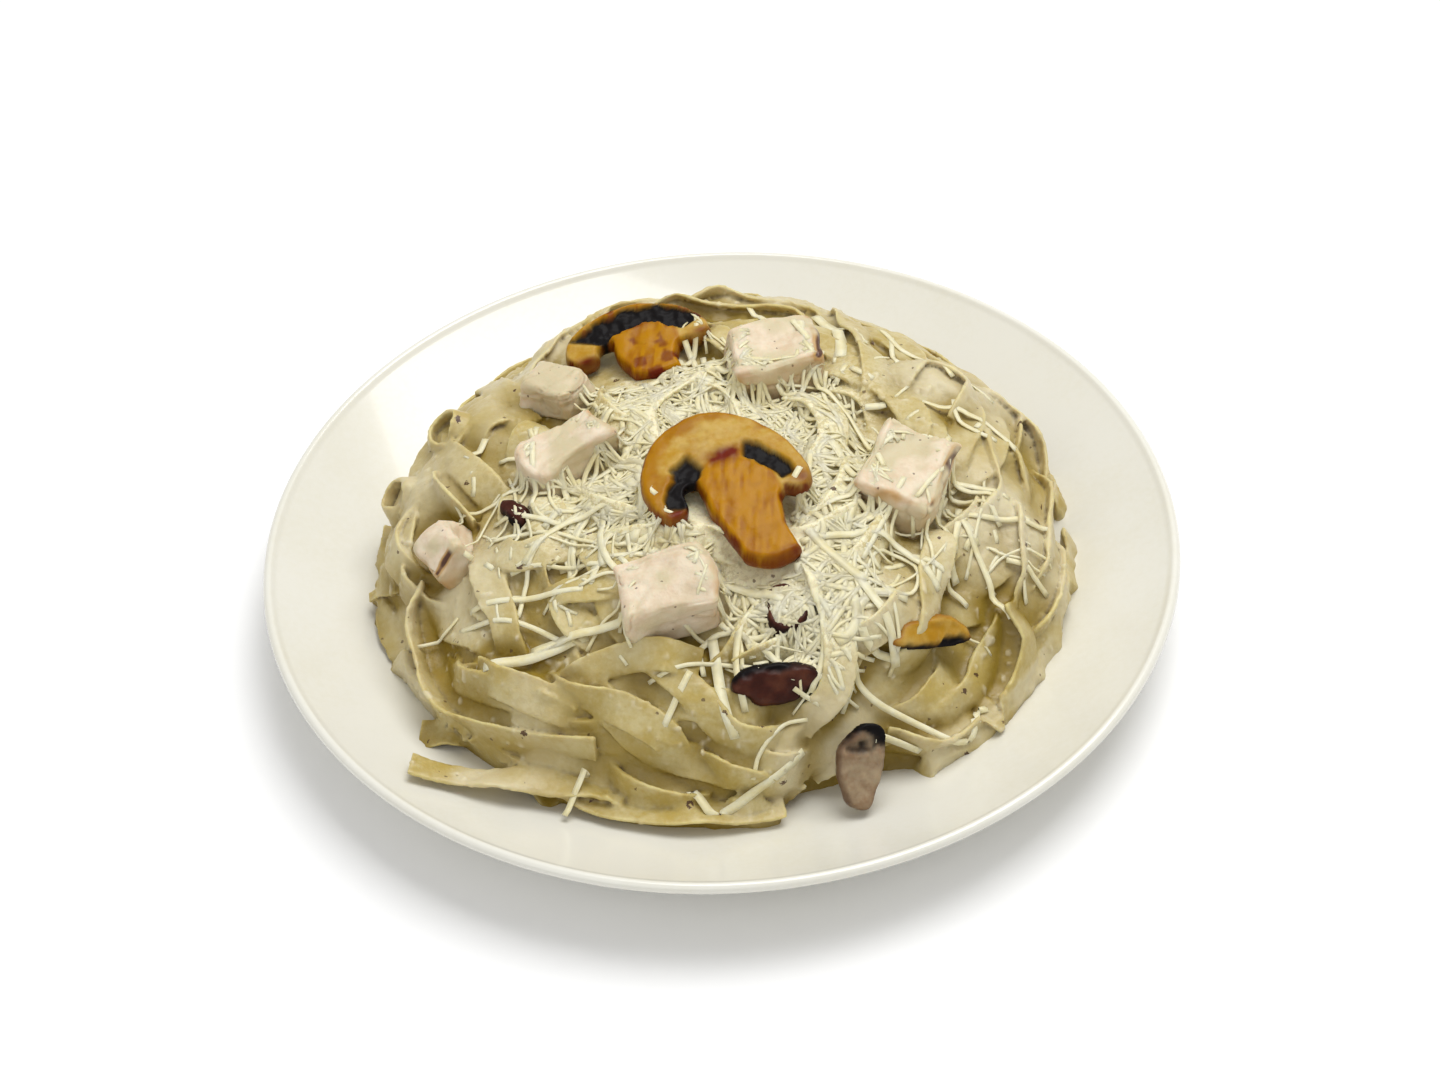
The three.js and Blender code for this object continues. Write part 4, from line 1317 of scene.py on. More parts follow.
    def _texture(self, surface: HeapSurface, relief: Relief, piece: Piece) -> None:
        """Roughen the skin with lumps of sauce, and note how deep each corner lies in the heap."""
        points, normals = corner_array(piece.data), corner_array(piece.data, "normal")
        # Convexity, which the finish turns into a painted highlight on edges and painted shade in grooves.
        set_value(piece.data, "ridge", convexity(piece.data, points, normals, 12))
        places, lifts = surface.under(points)
        cheese, coat = CheeseShreds().density(places), self.patches(places)
        lumps = (0.22 + 0.4 * coat + 0.2 * cheese) * fractal(points, 2.6, 3, 31)
        lumps += 0.2 * fractal(points, 9, 2, 33)
        crumbs = smoothstep(noise(points, 1.9, 37), 0.48, 0.9) * smoothstep(noise(points, 14, 39), -0.25, 0.3)
        # Depth under the smoothed tops, less under cheese; the finish turns it into painted shade.
        smooth = Relief.of(blur_grid(widest(relief.lift, 3), 10))
        depth = (smooth.at(places) - lifts) * (1 - 0.75 * cheese)
        set_vertices(piece.data, points + normals * (lumps + 0.45 * crumbs - 0.1)[:, None])
        set_value(piece.data, "depth", np.clip(depth, -2, 12))
        set_value(piece.data, "crumb", crumbs)
        set_value(piece.data, "coat", coat)
        set_value(piece.data, "cheese", cheese * smoothstep(depth, 7.0, 3.5))


# ---- cheese shreds

# Shreds that show best: width and course.
SHREDS = (
    (1.6, ((84, 74), (71, 56), (52, 44))), (1.5, ((318, 60), (322, 74), (324, 86))),
    (2.4, ((303, 60), (303, 74), (302, 86))), (1.8, ((292, 76), (296, 92), (305, 108), (314, 119))),
    (2.6, ((299, 44), (302, 58), (304, 64))), (2.8, ((239, 72), (231, 82), (224, 90))),
    (2.4, ((248, 66), (236, 74), (229, 82))), (1.6, ((341, 66), (331, 82), (326, 94))),
    (2.6, ((266, 66), (268, 82), (270, 92))), (1.5, ((291, 66), (288, 76), (284, 84))),
    (1.6, ((16, 60), (8, 74), (2, 82))), (1.5, ((24, 74), (17, 82))),
    (2.2, ((262, 118), (272, 106), (281, 98))), (1.6, ((245, 128), (246, 116))),
    (1.5, ((196, 66), (203, 56), (213, 50))), (1.4, ((140, 88), (146, 74))),
    (1.6, ((307, 40), (326, 44), (340, 34))), (1.6, ((303, 34), (321, 30), (345, 26))),
    (1.5, ((212, 84), (222, 70), (233, 62))), (1.5, ((350, 66), (348, 80))),
    (1.5, ((125, 72), (112, 66))), (1.5, ((46, 76), (38, 66), (30, 60))),
    (1.6, ((258, 90), (262, 76))), (1.8, ((300, 108), (292, 98))),
    (1.5, ((53, 80), (39, 71), (22, 71))), (1.4, ((44, 39), (17, 39), (350, 46))),
    (1.8, ((295, 47), (310, 51), (319, 61), (318, 76))), (1.4, ((356, 50), (349, 66), (346, 77))),
    (1.6, ((220, 38), (212, 51), (215, 65))), (1.8, ((273, 62), (271, 74), (272, 86))),
    (1.4, ((235, 76), (222, 78), (212, 90))), (1.4, ((335, 85), (337, 101))),
)

# Places that shreds stay clear of, besides the dice of chicken: bearing, distance, reach.
BALD = ((274, 19, 21.0), (283, 42, 12.0), (115, 53, 14.0), (278, 80, 4.0))


@dataclass(frozen=True)
class ShredPatch:
    """A part of the heap that shreds are strewn over: its middle, spread and share of all shreds."""

    bearing: float
    distance: float
    spread: float
    share: float


@dataclass
class CheeseShreds:
    """Grated cheese, thick round the top mushroom and down the front, thin elsewhere.

    Attributes:
        strands: Number of seeded long shreds tried.
        crumbs: Number of seeded short ones.
        strand_length: Least length of a long shred, and scale of what is drawn on top.
        crumb_length: The same of a short one.
        width: The same of a shred's width.
        loose: Share of the shreds with a free end.
        seed: Start of the random draws.
        sizes: The kind of strip.
        named_pile: Height over the heap that the named shreds are pressed towards.
        thick: Share of the shreds for each square mm at which the heap counts as covered.
        farthest: Distance beyond which no seeded shred lies.
        patches: Where they are strewn.
    """

    strands: int = 500
    crumbs: int = 1200
    strand_length: Pair = (9.0, 4.6)
    crumb_length: Pair = (2.6, 1.2)
    width: Pair = (0.55, 0.32)
    loose: float = 0.4
    seed: int = 913
    sizes: StripSizes = field(default_factory=lambda: StripSizes(
        thickness=0.4, step=1.6, sides=6, square=4.0, sag=2.4, sink=0.2, tuck=0.2, pile=0.9))
    named_pile: float = 2.0
    thick: float = 0.0004
    farthest: float = 106.0
    patches: tuple[ShredPatch, ...] = (
        ShredPatch(275, 18, 25, 0.4), ShredPatch(288, 60, 14, 0.12), ShredPatch(300, 42, 14, 0.1),
        ShredPatch(40, 24, 24, 0.16), ShredPatch(200, 40, 22, 0.1), ShredPatch(335, 60, 20, 0.04),
        ShredPatch(0, 0, 58, 0.04), ShredPatch(125, 32, 15, 0.07),
    )

    def density(self, places: Array) -> Array:
        """How thickly cheese is strewn over places, from 0 to about 1."""
        total = np.zeros(len(places))
        for patch in self.patches:
            near = bell(places, spot(patch.bearing, patch.distance), patch.spread)
            total += patch.share / patch.spread ** 2 * near
        return np.clip(total / self.thick, 0, 1)

    def course(self, draw: np.random.Generator, length: float) -> Array:
        """A gently bent course of a length somewhere on the patches."""
        shares = np.array([patch.share for patch in self.patches])
        patch = self.patches[draw.choice(len(self.patches), p=shares / shares.sum())]
        middle = spot(patch.bearing, patch.distance) + draw.normal(0, patch.spread / 1.4, 2)
        heading, bend = draw.uniform(0, 2 * math.pi), draw.normal(0, 0.03)
        walked = np.linspace(-0.5, 0.5, 5) * length
        angle = heading + bend * walked
        return middle + walked[:, None] * np.stack([np.cos(angle), np.sin(angle)], axis=1)

    def strew(self, surface: HeapSurface, relief: Relief) -> tuple[StripLayer, StripLayer]:
        """Lay the crumbs, the seeded strands and the named ones; the layers of strands and of crumbs."""
        draw = np.random.default_rng(self.seed)
        bald = [(spot(bearing, distance), reach) for bearing, distance, reach in BALD]
        bald += [(spot(*die.at), 0.27 * die.size[0]) for die in CHICKEN]
        ground = Relief.of(blur_grid(relief.lift, 3))
        crumbs = StripLayer(surface, relief, self.sizes, self.seed, ground)
        strands = StripLayer(surface, relief, self.sizes, self.seed + 1, ground)
        for layer, count, (least, spread) in (
                (crumbs, self.crumbs, self.crumb_length), (strands, self.strands, self.strand_length)):
            for _ in range(count):
                course = self.course(draw, least + draw.gamma(3.0, spread))
                stations = clear_run(spline(course, self.sizes.step), bald, 0)
                if len(stations) < 3 or np.hypot(*stations.T).max() > self.farthest:
                    continue
                end = End.STOP if draw.random() < self.loose else End.NONE
                layer.lay(stations, self.width[0] + draw.gamma(2.0, self.width[1]), end=end)
        strands.sizes = replace(self.sizes, pile=self.named_pile)
        for width, course in SHREDS:
            places = np.array([spot(*place) for place in course])
            strands.lay(spline(places, self.sizes.step), 1.1 * width)
        log.info("%d strands and %d crumbs of cheese", strands.count, crumbs.count)
        return strands, crumbs


# ---- toppings


@dataclass(frozen=True)
class Topping:
    """One piece that lies on the heap.

    Attributes:
        node: Its CAD node.
        size: Its sizes along its own axes.
        at: Bearing and distance of its place.
        lift: Height of its origin over the heap.
        turn: Turn about its own axis.
        lean: Lean towards the front.
        phase: Picks its unevenness.
    """

    node: str
    size: Triple
    at: Pair
    lift: float
    turn: float
    lean: float
    phase: float

    def room(self) -> tuple[Array, float]:
        """Middle and reach of the room that ribbons leave to it."""
        return spot(*self.at), 0.3 * max(self.size[:2])

    def posed(self, points: Array, surface: HeapSurface) -> Array:
        """Its points at their place: +Z square to the heap, turned, then leant towards the front."""
        place = spot(*self.at)[None]
        foot, normals = surface.over(place, self.lift + swell(place))
        upright = Vector((0, 0, 1)).rotation_difference(Vector(normals[0]))
        leant = Quaternion((1, 0, 0), math.radians(self.lean))
        turned = Quaternion((0, 0, 1), math.radians(self.turn))
        pose = np.array(Matrix.Translation(Vector(foot[0])) @ (leant @ upright @ turned).to_matrix().to_4x4())
        return points @ pose[:3, :3].T + pose[:3, 3]


@dataclass(frozen=True)
class ChickenDie(Topping):
    """One die of chicken; its origin is the middle of its foot.

    Attributes:
        sear: How much of it is browned.
        coated: How much sauce lies on it.
        grain: Direction of its fibres, in degrees.
        ROUND: Rounding of its edges.
        CELLS: Cells along each side of its faces.
        CROWD: How far the cells are crowded towards the edges.
    """

    sear: float
    coated: float
    grain: float

    ROUND = 2.6
    CELLS = 34
    CROWD = math.pi / 2 * 0.92

    def skin(self) -> tuple[Array, Array]:
        """Directions of a cube's skin, from -1 to 1, and the quads that join them."""
        axis = np.sin(np.linspace(-1, 1, self.CELLS + 1) * self.CROWD) / math.sin(self.CROWD)
        first, second = (grid.ravel() for grid in np.meshgrid(axis, axis, indexing="ij"))
        one = np.ones_like(first)
        row, column = np.meshgrid(np.arange(self.CELLS), np.arange(self.CELLS), indexing="ij")
        corner = (row * (self.CELLS + 1) + column).ravel()
        quad = np.stack([corner, corner + self.CELLS + 1, corner + self.CELLS + 2, corner + 1], axis=1)
        sides = []
        for side, (main, other) in enumerate(product(range(3), (-1, 1))):
            point = np.zeros((len(first), 3))
            point[:, main], point[:, (main + 1) % 3], point[:, (main + 2) % 3] = other * one, first, second
            faces = quad if other > 0 else quad[:, ::-1]
            sides.append((point, faces + side * len(first)))
        return np.concatenate([side[0] for side in sides]), np.concatenate([side[1] for side in sides])

    def build(self, surface: HeapSurface) -> Piece:
        """Write the die.

        The cube's skin becomes a rounded box: each point is moved in by the rounding and out again along
        the direction from the nearest point of the smaller box. It is then warped like the CAD node, and
        fibres, splits and dents are added from noise that is stretched along the grain.
        """
        cube, faces = self.skin()
        half = np.array(self.size) / 2
        inner = np.clip(cube * half, self.ROUND - half, half - self.ROUND)
        outward = unit(cube * half - inner)
        points = inner + outward * self.ROUND
        share = points / half
        warp = np.stack([
            0.9 * np.sin(self.phase + 2.1 * share[:, 1] + 1.3 * share[:, 2]),
            0.9 * np.sin(2 * self.phase + 1.9 * share[:, 0] + 1.7 * share[:, 2]),
            0.8 * np.sin(3 * self.phase + 2.3 * share[:, 0] - 1.8 * share[:, 1])], axis=1)
        grain = math.radians(self.grain)
        turned = np.stack([points[:, 0] * math.cos(grain) + points[:, 1] * math.sin(grain),
                           points[:, 1] * math.cos(grain) - points[:, 0] * math.sin(grain),
                           points[:, 2]], axis=1)
        seed = int(self.phase * 10)
        fibres = fractal(turned / [5.0, 1.0, 1.0], 1.9, 3, seed)
        splits = smoothstep(0.09 - np.abs(noise(turned / [3.4, 1.0, 1.0], 5.5, seed + 3)), 0, 0.09)
        dents = fractal(points, 8, 2, seed + 5)
        points = points + warp + outward * (0.45 * fibres + 1.4 * dents - 0.6 * splits - 0.5)[:, None]
        points[:, 2] += half[2]
        rim = smoothstep(np.sort(np.abs(share), axis=1)[:, 1], 0.72, 0.98)
        patches = fractal(points, 7, 3, seed + 9)
        fried = smoothstep(np.maximum(share[:, 0], -share[:, 1]), 0.78, 0.96)
        line = smoothstep(share[:, 2], 0.66, 0.84) * smoothstep(share[:, 0], 0.7, 0.86)
        line *= smoothstep(patches, -0.7, 0.0)
        sear = self.sear * (0.2 + 0.6 * fried + 1.1 * line + 0.2 * rim + 0.7 * patches)
        sear = np.clip(sear + 0.1 * splits, 0, 1.2)
        top = smoothstep(outward[:, 2], -0.2, 0.7)
        cover = fractal(points, 6, 3, seed + 13) + 1.3 * (self.coated - 0.6)
        coated = smoothstep(cover, -0.15, 0.3) * (0.5 + 0.5 * top)
        builder = MeshBuilder()
        builder.add(self.posed(points, surface), faces, sear=sear, coated=coated)
        return builder.build(self.node + "_meat")


CHICKEN = (
    ChickenDie("chicken_front", (26, 20, 17), (255, 58), -3, 12, 0, 0.4, 0.3, 0.5, 10),
    ChickenDie("chicken_right", (23, 28, 16), (341, 52), -3, -28, 6, 2.1, 0.6, 0.7, 100),
    ChickenDie("chicken_left", (27, 15, 13), (179, 42), -3, 38, 4, 3.8, 0.3, 0.6, 20),
    ChickenDie("chicken_back", (27, 22, 15), (64, 40), -3, 12, 4, 5.5, 0.5, 0.6, 0),
    ChickenDie("chicken_back_left", (17, 14, 12), (148, 53), -2, -30, 0, 7.2, 0.3, 0.9, 60),
    ChickenDie("chicken_side_left", (17, 13, 13), (197, 80), -4, -72, 0, 8.9, 0.6, 0.55, 30),
)


class Cut(Enum):
    """How a mushroom is cut."""

    LONG = "lengthwise slice"
    PIECE = "broken piece"


def bezier(*knots: Pair, count: int = 14) -> Array:
    """Points of the curve from the first knot to the last that the others pull on, without its end."""
    share = np.linspace(0, 1, count, endpoint=False)[:, None]
    points = np.repeat(np.array(knots, float)[:, None], count, axis=1)
    while len(points) > 1:
        points = (1 - share) * points[:-1] + share * points[1:]
    return points[0]


@dataclass(frozen=True)
class MushroomSlice(Topping):
    """One fried slice of mushroom, or a piece of one; its origin is its middle.

    Attributes:
        cut: How it is cut.
        dark: How dark it is fried, from 0 to 1.
        gills: Share of a piece that shows gills, over 0 at its foot and under 0 at its top; in a slice
            the reach of their band from the cap's middle, which leaves out the stem if it is under 0.45.
        CELL: Distance between its corners.
        EDGE: Width of its rounded edge.
    """

    cut: Cut
    dark: float
    gills: float

    CELL = 0.55
    EDGE = 1.3

    def outline(self) -> Array:
        """Corners of the slice's edge, anticlockwise or not, one row each."""
        length, width = self.size[:2]
        if self.cut is Cut.PIECE:
            angle = np.linspace(0, 2 * math.pi, 9, endpoint=False)
            uneven = 1 + 0.14 * np.sin(2 * angle + self.phase) + 0.1 * np.sin(3 * angle + 2 * self.phase)
            knots = np.stack([uneven * width / 2 * np.cos(angle),
                              uneven * length / 2 * np.sin(angle)], axis=1)
            return self.torn(spline(knots, 0.5, closed=True), 0.5, 0.8)
        curves = (
            ((-0.15, 0.1), (-0.25, 0.14), (-0.25, 0)), ((-0.25, 0), (-0.26, -0.1), (-0.4, -0.08)),
            ((-0.4, -0.08), (-0.56, 0.1), (-0.44, 0.5), (0.02, 0.52)),
            ((0.02, 0.52), (0.34, 0.5), (0.56, 0.14), (0.51, -0.07)),
            ((0.51, -0.07), (0.45, -0.17), (0.34, -0.1)), ((0.34, -0.1), (0.285, -0.14)),
            ((0.285, -0.14), (0.245, -0.29)), ((0.245, -0.29), (0.26, -0.455)),
            ((0.26, -0.455), (0.07, -0.54), (-0.07, -0.4)), ((-0.07, -0.4), (-0.15, -0.1)),
            ((-0.15, -0.1), (-0.15, 0.1)))
        line = np.concatenate([bezier(*curve, count=8) for curve in curves]) * (width, length)
        return self.torn(spline(line, 0.5, closed=True), 0.35, 0.35)

    def torn(self, line: Array, inset: float, ragged: float) -> Array:
        """A closed line drawn in a little and made ragged."""
        uneven = ragged * fractal(level_points(line), 5, 3, int(self.phase * 9))
        return line - unit(line - line.mean(axis=0)) * (inset + uneven[:, None])

    @staticmethod
    def measured(points: Array, line: Array) -> tuple[Array, Array]:
        """Distance inside a closed line, negative outside, and the nearest point of the line."""
        start, stop = line, np.roll(line, -1, axis=0)
        span = stop - start
        away = points[:, None] - start
        share = np.clip((away * span).sum(axis=2) / (span ** 2).sum(axis=1), 0, 1)
        near = start + share[..., None] * span
        gaps = np.linalg.norm(points[:, None] - near, axis=2)
        best = gaps.argmin(axis=1)
        crosses = ((start[:, 1] > points[:, None, 1]) != (stop[:, 1] > points[:, None, 1])) & (
            points[:, None, 0] < span[:, 0] * (points[:, None, 1] - start[:, 1])
            / np.where(span[:, 1] == 0, 1e-9, span[:, 1]) + start[:, 0])
        inside = crosses.sum(axis=1) % 2 == 1
        rows = np.arange(len(points))
        return np.where(inside, gaps[rows, best], -gaps[rows, best]), near[rows, best]

    def build(self, surface: HeapSurface) -> Piece:
        """Write the slice.

        A flat grid is clipped to the outline, its outer corners moved onto it. Both faces rise from the
        outline like a pillow's, then flatten, and the gills, streaks and dents are pressed into them.
        """
        thickness, line = self.size[2], self.outline()
        low, high = line.min(axis=0) - self.CELL, line.max(axis=0) + self.CELL
        axis_x, axis_y = (np.arange(low[i], high[i], self.CELL) for i in range(2))
        grid_x, grid_y = np.meshgrid(axis_x, axis_y, indexing="ij")
        flat = np.stack([grid_x.ravel(), grid_y.ravel()], axis=1)
        inside, nearest = self.measured(flat, line)
        flat = np.where((inside <= 0)[:, None], nearest, flat)
        depth = np.maximum(inside, 0)
        row, column = np.meshgrid(np.arange(len(axis_x) - 1), np.arange(len(axis_y) - 1), indexing="ij")
        corner = (row * len(axis_y) + column).ravel()
        quads = np.stack([corner, corner + len(axis_y), corner + len(axis_y) + 1, corner + 1], axis=1)
        quads = quads[(inside[quads] > 0).any(axis=1)]
        masks = self.masks(flat, depth)
        pillow = np.sqrt(1 - (1 - np.clip(depth / self.EDGE, 0, 1)) ** 2) * thickness / 2
        seed = int(self.phase * 10)
        fine = fractal(level_points(flat), 3.2, 3, seed)
        ragged = fractal(level_points(flat), 1.5, 2, seed + 2)
        press = ((0.3 if self.cut is Cut.LONG else 0.7) * fine + masks["gill"] * (0.4 * ragged - 1.5)
                 + masks["stem"] * (0.5 - 0.16 * masks["streak"]))
        inward = smoothstep(depth, 0, self.EDGE)
        bend = self.bend(flat)
        top = bend + pillow + press * inward
        bottom = bend - pillow - 0.3 * fine * inward
        count = len(flat)
        rim = inside <= 0
        below = np.where(rim, np.arange(count), np.arange(count) + count)
        faces = np.concatenate([quads, below[quads][:, ::-1]])
        points = np.concatenate([np.column_stack([flat, top]), np.column_stack([flat, bottom])])
        used, renumbered = np.unique(faces, return_inverse=True)
        values = {name: np.tile(mask, 2)[used] for name, mask in masks.items()}
        builder = MeshBuilder()
        builder.add(self.posed(points[used], surface), renumbered.reshape(faces.shape), **values)
        return builder.build(self.node + "_slice")

    def bend(self, flat: Array) -> Array:
        """Lift of the slice's middle plane: its ends curl up a little."""
        reach = flat / np.array([self.size[1], self.size[0]])
        return 0.5 * np.sin(self.phase + 4 * reach[:, 0]) + 0.4 * np.sin(2 * self.phase + 5 * reach[:, 1])

    def masks(self, flat: Array, depth: Array) -> dict[str, Array]:
        """Shares of gills, stem, skin, browned rim and streaks at each corner."""
        length, width = self.size[:2]
        seed = int(self.phase * 10) + 40
        rough = fractal(level_points(flat), 4, 3, seed)
        streak = 0.5 + 0.5 * noise(np.column_stack([flat[:, 0] - 0.4 * flat[:, 1], flat[:, 1] / 6,
                                                    flat[:, 0] * 0]), 1.1, seed + 3)
        found = self._slice_masks if self.cut is Cut.LONG else self._piece_masks
        return found(flat[:, 0] / width, flat[:, 1] / length, depth, rough) | {"streak": streak}

    def _slice_masks(self, across: Array, along: Array, depth: Array,
                     rough: Array) -> dict[str, Array]:
        """Masks of a lengthwise slice, over shares of its width and length."""
        def blot(x: float, y: float, wide: float, high: float) -> Array:
            """A soft spot on the slice."""
            return np.exp(-((across - x) / wide) ** 2 - ((along - y) / high) ** 2)

        whole = self.gills > 0.45
        out, up = across - 0.05, along + 0.1
        inner, ragged = (0.28, 0.06) if whole else (0.26, 0.03)
        ring, angle = np.hypot(out, up) + ragged * rough, np.degrees(np.arctan2(up, out))
        sides = (band(angle, 22, 146, 8, 8) if whole
                 else band(angle, 8, 68, 8, 6) + band(angle, 112, 172, 8, 8))
        gill = band(ring, inner, self.gills - 0.08 * across, 0.03, 0.03) * sides
        stem = band(across, -0.17, 0.31, 0.03, 0.03)
        stem *= smoothstep((0.4 if whole else 0.22) - along + 0.04 * rough, 0, 0.06) * (1 - gill)
        skin = smoothstep(along, -0.1, 0.1) * smoothstep(5.6 - depth - 6 * across + 3 * rough, 0, 4)
        skin *= 1 - stem
        skin *= smoothstep(across, -0.24, -0.16) if whole else 1.0
        burnt = (blot(-0.33, -0.05, 0.09, 0.05) + 0.8 * blot(0.44, -0.07, 0.06, 0.05)
                 + (1 + rough) * blot(0.06, 0.21, 0.15, 0.045)
                 + 0.9 * smoothstep(-along + 0.03 * rough, 0.42, 0.49))
        edge_line = 0.8 * smoothstep(0.9 - depth + 0.9 * rough, 0, 0.7)
        rim = np.clip(np.maximum(burnt, edge_line) + 1.4 * self.dark * smoothstep(rough, 0.02, 0.3), 0, 1)
        return {"gill": gill, "stem": stem, "skin": skin, "rim": rim}

    def _piece_masks(self, across: Array, along: Array, depth: Array,
                     rough: Array) -> dict[str, Array]:
        """Masks of a broken piece, over shares of its width and length."""
        edge = math.copysign(1, self.gills) * along + 0.25 * math.sin(self.phase) * across + 0.2 * rough
        rim = (smoothstep(1.3 - depth + 0.8 * rough, 0, 1.2) * (0.35 + 0.65 * self.dark)
               + self.dark * smoothstep(rough, -0.1, 0.4) * 0.6)
        return {"gill": smoothstep(abs(self.gills) - 0.5 - edge, -0.08, 0.1),
                "stem": smoothstep(self.dark - 0.5 + 0.4 * rough, 0, 0.3),
                "skin": np.full(len(across), 0.8 * self.dark), "rim": np.clip(rim, 0, 1)}


MUSHROOMS = (
    MushroomSlice("mushroom_top", (54, 46, 6), (273, 29), 6.2, 18, 10, 0.9, Cut.LONG, 0.1, 0.42),
    MushroomSlice("mushroom_back", (28, 45, 7), (115, 53), 1.5, 14, 26, 2.2, Cut.LONG, 0.5, 0.54),
    MushroomSlice("mushroom_front", (12, 24, 5), (278, 80), 3, 14, 20, 3.5, Cut.PIECE, 0.75, -0.16),
    MushroomSlice("mushroom_right", (9, 28, 5), (311, 83), 3, 5, 20, 4.8, Cut.PIECE, 0.2, 0.25),
    MushroomSlice("mushroom_low", (23, 14, 5), (289, 103), 7.6, 10, -14, 6.1, Cut.PIECE, 0.26, -0.24),
    MushroomSlice("mushroom_mid", (18, 12, 5), (284, 62), 2, 10, 0, 7.4, Cut.PIECE, 0.6, 0.15),
    MushroomSlice("mushroom_left", (8, 11, 5), (198, 59), 2, -40, 0, 8.7, Cut.PIECE, 0.8, 0.2),
    MushroomSlice("mushroom_under", (7, 10, 5), (243, 111), 3, -30, 0, 10.0, Cut.PIECE, 0.8, 0.2),
)


# ---- the plate


@dataclass
class PlateBuilder:
    """The glazed plate, turned about its axis in fine steps."""

    sizes: PlateSizes = PLATE
    segments: int = 288

    def outline(self) -> Array:
        """Section of the plate, from the middle of its underside round to the middle of the well."""
        own = self.sizes
        bowl = np.linspace(own.well_radius, own.lip_inner, 46)
        under = bowl[6:-2]
        knots = [
            [(0.01, own.foot_hollow), (own.foot_inner - 1.0, own.foot_hollow), (own.foot_inner - 0.3, 1.2),
             (own.foot_inner, 0.35), (own.foot_inner + 0.4, 0.0), (own.foot_outer - 0.4, 0.0),
             (own.foot_outer, 0.35), (own.foot_outer + 0.6, 1.1),
             (own.foot_outer + 1.5, own.well_level - own.wall)],
            np.column_stack([under, plate_level(under) - own.wall]),
            [(own.lip_inner + 1, own.height - own.lip_thickness), (own.radius - 0.5, own.height - 2.6),
             (own.radius, own.height - 1.7), (own.radius - 0.25, own.height - 0.8),
             (own.radius - 0.9, own.height - 0.2), (own.radius - 1.8, own.height),
             (own.radius - 2.5, own.height - 0.35)],
            np.column_stack([bowl, plate_level(bowl)])[::-1],
            [(radius, own.well_level) for radius in (60, 40, 20, 0.01)],
        ]
        return np.concatenate([np.array(part, float) for part in knots])

    def build(self) -> Piece:
        """Write the plate."""
        line = self.outline()
        angle = np.linspace(0, 2 * math.pi, self.segments, endpoint=False)
        rings = np.stack([line[:, :1] * np.cos(angle), line[:, :1] * np.sin(angle),
                          np.repeat(line[:, 1:], self.segments, axis=1)], axis=2)
        foot = np.repeat(smoothstep(0.5 - line[:, 1:], 0, 0.3), self.segments, axis=1)
        builder = MeshBuilder()
        builder.loft(rings, foot=foot)
        return builder.build("plate_glazed")


# ---- the stage


@dataclass
class Studio:
    """White ground, soft daylight from behind on the right, and the photograph's camera."""

    lens: float = 60.0
    sensor: float = 36.0
    distance: float = 680.7
    elevation: float = 43.78
    roll: float = -3.27
    aim: Triple = (0.0, -5.78, 24.0)
    ground: float = 4000.0
    sky: float = 0.54
    window_power: float = 10.9
    window_at: Triple = (270.0, 290.0, 1130.0)
    window_size: Pair = (800.0, 800.0)
    fill_power: float = 2.0
    fill_at: Triple = (-500.0, -900.0, 900.0)
    fill_size: Pair = (900.0, 900.0)

    def build(self) -> None:
        """Put ground, lights and camera into the scene."""
        self._ground()
        self._light("window", self.window_at, self.window_power, self.window_size)
        self._light("fill", self.fill_at, self.fill_power, self.fill_size)
        world = bpy.data.worlds.new("daylight")
        world.use_nodes = True
        background = world.node_tree.nodes["Background"]
        background.inputs["Color"].default_value = (1.0, 1.0, 1.0, 1.0)
        background.inputs["Strength"].default_value = self.sky
        bpy.context.scene.world = world
        bpy.context.scene.view_settings.view_transform = "Standard"
        self._camera()

    def _ground(self) -> None:
        """A wide white sheet under the object."""
        half = self.ground / 2
        builder = MeshBuilder()
        corners = np.array([(-half, -half, 0), (half, -half, 0), (half, half, 0), (-half, half, 0)])
        builder.add(corners, np.array([[0, 1, 2, 3]]))
        sheet = builder.build("ground", smooth=False)
        sheet.data.materials.append(FloorFinish().make())

    def _light(self, name: str, at: Triple, power: float, size: Pair) -> None:
        """A soft rectangular light that faces the food."""
        lamp = bpy.data.lights.new(name, "AREA")
        lamp.shape, lamp.size, lamp.size_y = "RECTANGLE", size[0] * MM, size[1] * MM
        lamp.energy = power
        holder = bpy.data.objects.new(name, lamp)
        place = Vector(at) * MM
        holder.location = place
        holder.rotation_euler = (Vector(self.aim) * MM - place).to_track_quat("-Z", "Y").to_euler()
        bpy.context.scene.collection.objects.link(holder)

    def _camera(self) -> None:
        """The camera: on the side of -Y, above the food, turned a little about its own axis."""
        rise, turn = math.radians(self.elevation), math.radians(self.roll)
        back = Vector((0, -math.cos(rise), math.sin(rise)))
        right = Vector((1, 0, 0))
        up = right.cross(-back)
        wide = right * math.cos(turn) + up * math.sin(turn)
        tall = up * math.cos(turn) - right * math.sin(turn)
        data = bpy.data.cameras.new("camera")
        data.lens, data.sensor_width = self.lens, self.sensor
        camera = bpy.data.objects.new("camera", data)
        rotation = Matrix((wide, tall, back)).transposed().to_4x4()
        camera.matrix_world = Matrix.Translation((Vector(self.aim) + back * self.distance) * MM) @ rotation
        bpy.context.scene.collection.objects.link(camera)
        bpy.context.scene.camera = camera


# ---- the whole


